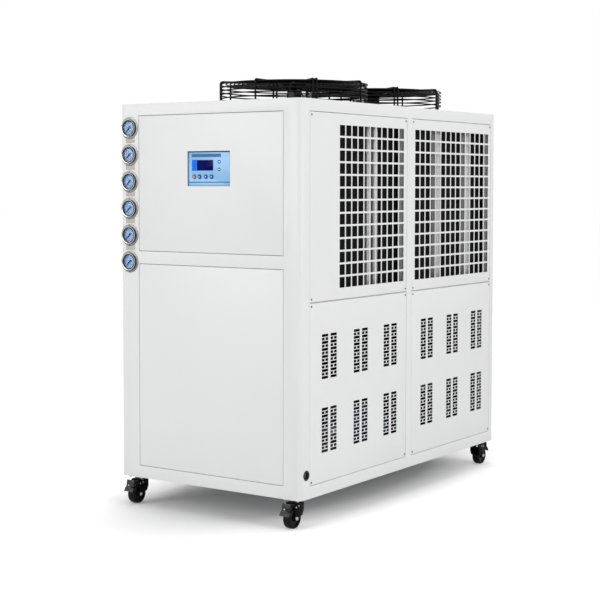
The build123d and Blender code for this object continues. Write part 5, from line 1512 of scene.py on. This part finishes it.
cock_outline = [(0.010, 0.0082), (0.0150, 0.0082), (0.0162, 0.0095), (0.0190, 0.0120), (0.0190, 0.0240),
                (0.0165, 0.0265), (0.0165, 0.0290), (0.0155, 0.0300), (0.010, 0.0300)]
stem_outline = [(0.0, 0.236), (0.0068, 0.236), (0.0068, 0.2425), (0.0040, 0.2430), (0.0040, 0.2478),
                (0.0, 0.2478)]
stem_y = 0.777
cock = [turned(cock_outline, 32, (pipe_x, rear_y, drain_port), "Y"),
        turned(stem_outline, 24, (pipe_x, stem_y, 0.0))]
fitted(joined("drain_cock", cock, brass), "cabinet", "pipe_steel")
socket_outline = [(water_radius, -0.009), (water_radius + 0.0045, -0.008), (water_radius + 0.0045, 0.008),
                  (water_radius, 0.009), (water_radius - 0.001, 0.009), (water_radius - 0.001, -0.009)]
sockets = [turned(socket_outline, 32, place, axis)
           for place, axis in (((pipe_x, 0.500, supply_z), "Y"), ((pipe_x, 0.600, return_z), "Y"),
                               ((pipe_x, -0.210, return_z), "Y"),
                               ((-0.150, exchanger_y, exchanger_port_z), "X"),
                               ((-0.020, exchanger_y, exchanger_port_z), "X"))]
fitted(joined("pipe_sockets", sockets, pipe_zinc), "cabinet", "pipe_steel")

# Drain handle
# A pressed steel lever dipped in red plastic, held on the cock's stem by a small nut. It turns with
# the stem.
handle_tip = -0.2190
handle_waist = (pipe_x + 0.012, 0.0042)
handle_plastic = finish_material("handle_plastic", (0.30, 0.012, 0.010), (0.42, 0.020, 0.016), (0.30, 0.42),
                                 peel=500.0, bump=0.08, tone=30.0)
nut_outline = [(0.0, 0.2478), (0.0040, 0.2478), (0.0040, 0.2500), (0.0034, 0.2506), (0.0, 0.2506)]
hub_arc, tip_arc = ([(x + radius * math.cos(math.radians(a)), stem_y + radius * math.sin(math.radians(a)))
                     for a in range(first, first + 182, 20)]
                    for x, radius, first in ((pipe_x, 0.006, 90), (handle_tip, 0.0050, -90)))
handle_loop = [*hub_arc, (handle_waist[0], stem_y - handle_waist[1]), *tip_arc,
               (handle_waist[0], stem_y + handle_waist[1])]
soft_parts("drain_lever", [level_plate(handle_loop, 0.2451, 0.2479)], 0.0008, handle_plastic, "drain_handle",
           "handle_plastic", "drain_valve_handle")
stem_nut = mesh_object("handle_nut", turned(nut_outline, 6, (pipe_x, stem_y, 0.0)), bolt_zinc)
fitted(stem_nut, "drain_handle", "zinc_plated")

# Studio floor and backdrop
# A white floor, and beyond it a white surround that the camera, metal and glass see. Besides the
# object's own soft shadow, the floor's glow for the camera fades out near the cabinet: a painted shadow.
floor_half = 40
floor_mesh = bpy.data.meshes.new("studio_floor")
floor_mesh.from_pydata([(x * floor_half, y * floor_half, 0) for x, y in ((-1, -1), (1, -1), (1, 1), (-1, 1))],
                       [], [(0, 1, 2, 3)])
floor = mesh_object("studio_floor", floor_mesh)
floor_paint = bpy.data.materials.new("studio_white")
floor_paint.use_nodes = True
floor_shader = floor_paint.node_tree.nodes["Principled BSDF"]
floor_shader.inputs["Roughness"].default_value = 0.9
floor_shader.inputs["Specular IOR Level"].default_value = 0.1
floor_shader.inputs["Emission Color"].default_value = (1.0, 1.0, 1.0, 1.0)
# The floor's glow for the camera grows with distance from a point a little left of the cabinet's middle,
# measured stretched sideways: a painted shadow round the cabinet.
wired(floor_paint.node_tree, {
    "place": "ShaderNodeTexCoord", "grain": ("ShaderNodeTexNoise", {"Scale": 1.5}),
    "tone": ("ShaderNodeMix", {"data_type": "RGBA", "A": (0.87, 0.87, 0.87, 1.0),
                               "B": (0.89, 0.89, 0.89, 1.0)}),
    "path": "ShaderNodeLightPath", "lift": ("ShaderNodeMath", {"operation": "MULTIPLY"}),
    "reach": ("ShaderNodeVectorMath", {"operation": "LENGTH"}),
    "stretch": ("ShaderNodeVectorMath", {"operation": "MULTIPLY_ADD", "1": (2.45, 1.0, 0.0),
                                         "2": (0.16, 0.0, 0.0)}),
    "fade": ("ShaderNodeMapRange", {"From Min": 0.86, "From Max": 1.60, "To Min": 0.0, "To Max": 0.48})},
    ["place.Object > grain.Vector", "grain.Fac > tone.Factor", "tone.Result > shader.Base Color",
     "place.Object > stretch.0", "stretch.Vector > reach.0", "reach.Value > fade.Value",
     "path.Is Camera Ray > lift.0", "fade.Result > lift.1", "lift.Value > shader.Emission Strength"],
    shader=floor_shader)
floor_mesh.materials.append(floor_paint)
surround = bpy.data.worlds.new("studio_surround")
bpy.context.scene.world = surround
surround.use_nodes = True
sky = surround.node_tree.nodes["Background"]
sky.inputs["Color"].default_value = (1.0, 1.0, 1.0, 1.0)
wired(surround.node_tree, {
    "path": "ShaderNodeLightPath", "seen": ("ShaderNodeMath", {"operation": "MAXIMUM"}),
    "all": ("ShaderNodeMath", {"operation": "MAXIMUM"}),
    "level": ("ShaderNodeMapRange", {"To Min": 0.57, "To Max": 1.0})},
    ["path.Is Camera Ray > seen.0", "path.Is Transmission Ray > seen.1", "seen.Value > all.0",
     "path.Is Glossy Ray > all.1", "all.Value > level.Value", "level.Result > sky.Strength"], sky=sky)

# Studio lamps
# Large soft boxes, each a square lamp behind white cloth: one over the front, one to the right and one
# overhead.
for lamp_name, place, aim, size, power in (
        ("front_soft_box", (-2.8, -6.2, 2.8), (0, -0.3, 0.9), 3.2, 130.0),
        ("right_soft_box", (6.0, -0.8, 2.3), (0.2, 0, 0.9), 3.2, 112.0),
        ("overhead_soft_box", (0.0, 0.2, 4.8), (0, 0, 1.0), 3.0, 52.0)):
    lamp_data = bpy.data.lights.new(lamp_name, "AREA")
    lamp_data.size = size
    lamp_data.energy = power
    lamp = bpy.data.objects.new(lamp_name, lamp_data)
    bpy.context.scene.collection.objects.link(lamp)
    lamp.location = place
    lamp.rotation_euler = (Vector(aim) - Vector(place)).to_track_quat("-Z", "Y").to_euler()

# Camera
# A long lens at the height of the upper door, fitted to the edges and seams of the cabinet in the
# photograph.
camera_turn, camera_dip, camera_roll = 34.3005, 2.6477, 0.0757
camera_data = bpy.data.cameras.new("camera")
camera_data.lens = 85.758
camera_data.sensor_width = 36.0
camera_data.shift_y = -0.0825
camera = bpy.data.objects.new("camera", camera_data)
bpy.context.scene.collection.objects.link(camera)
camera.location = (3.31713, -5.02212, 1.25867)
camera.rotation_euler = (Matrix.Rotation(math.radians(camera_turn), 3, "Z")
                         @ Matrix.Rotation(math.radians(90 - camera_dip), 3, "X")
                         @ Matrix.Rotation(math.radians(camera_roll), 3, "Z")).to_euler()
bpy.context.scene.camera = camera
bpy.context.scene.view_settings.view_transform = "Standard"
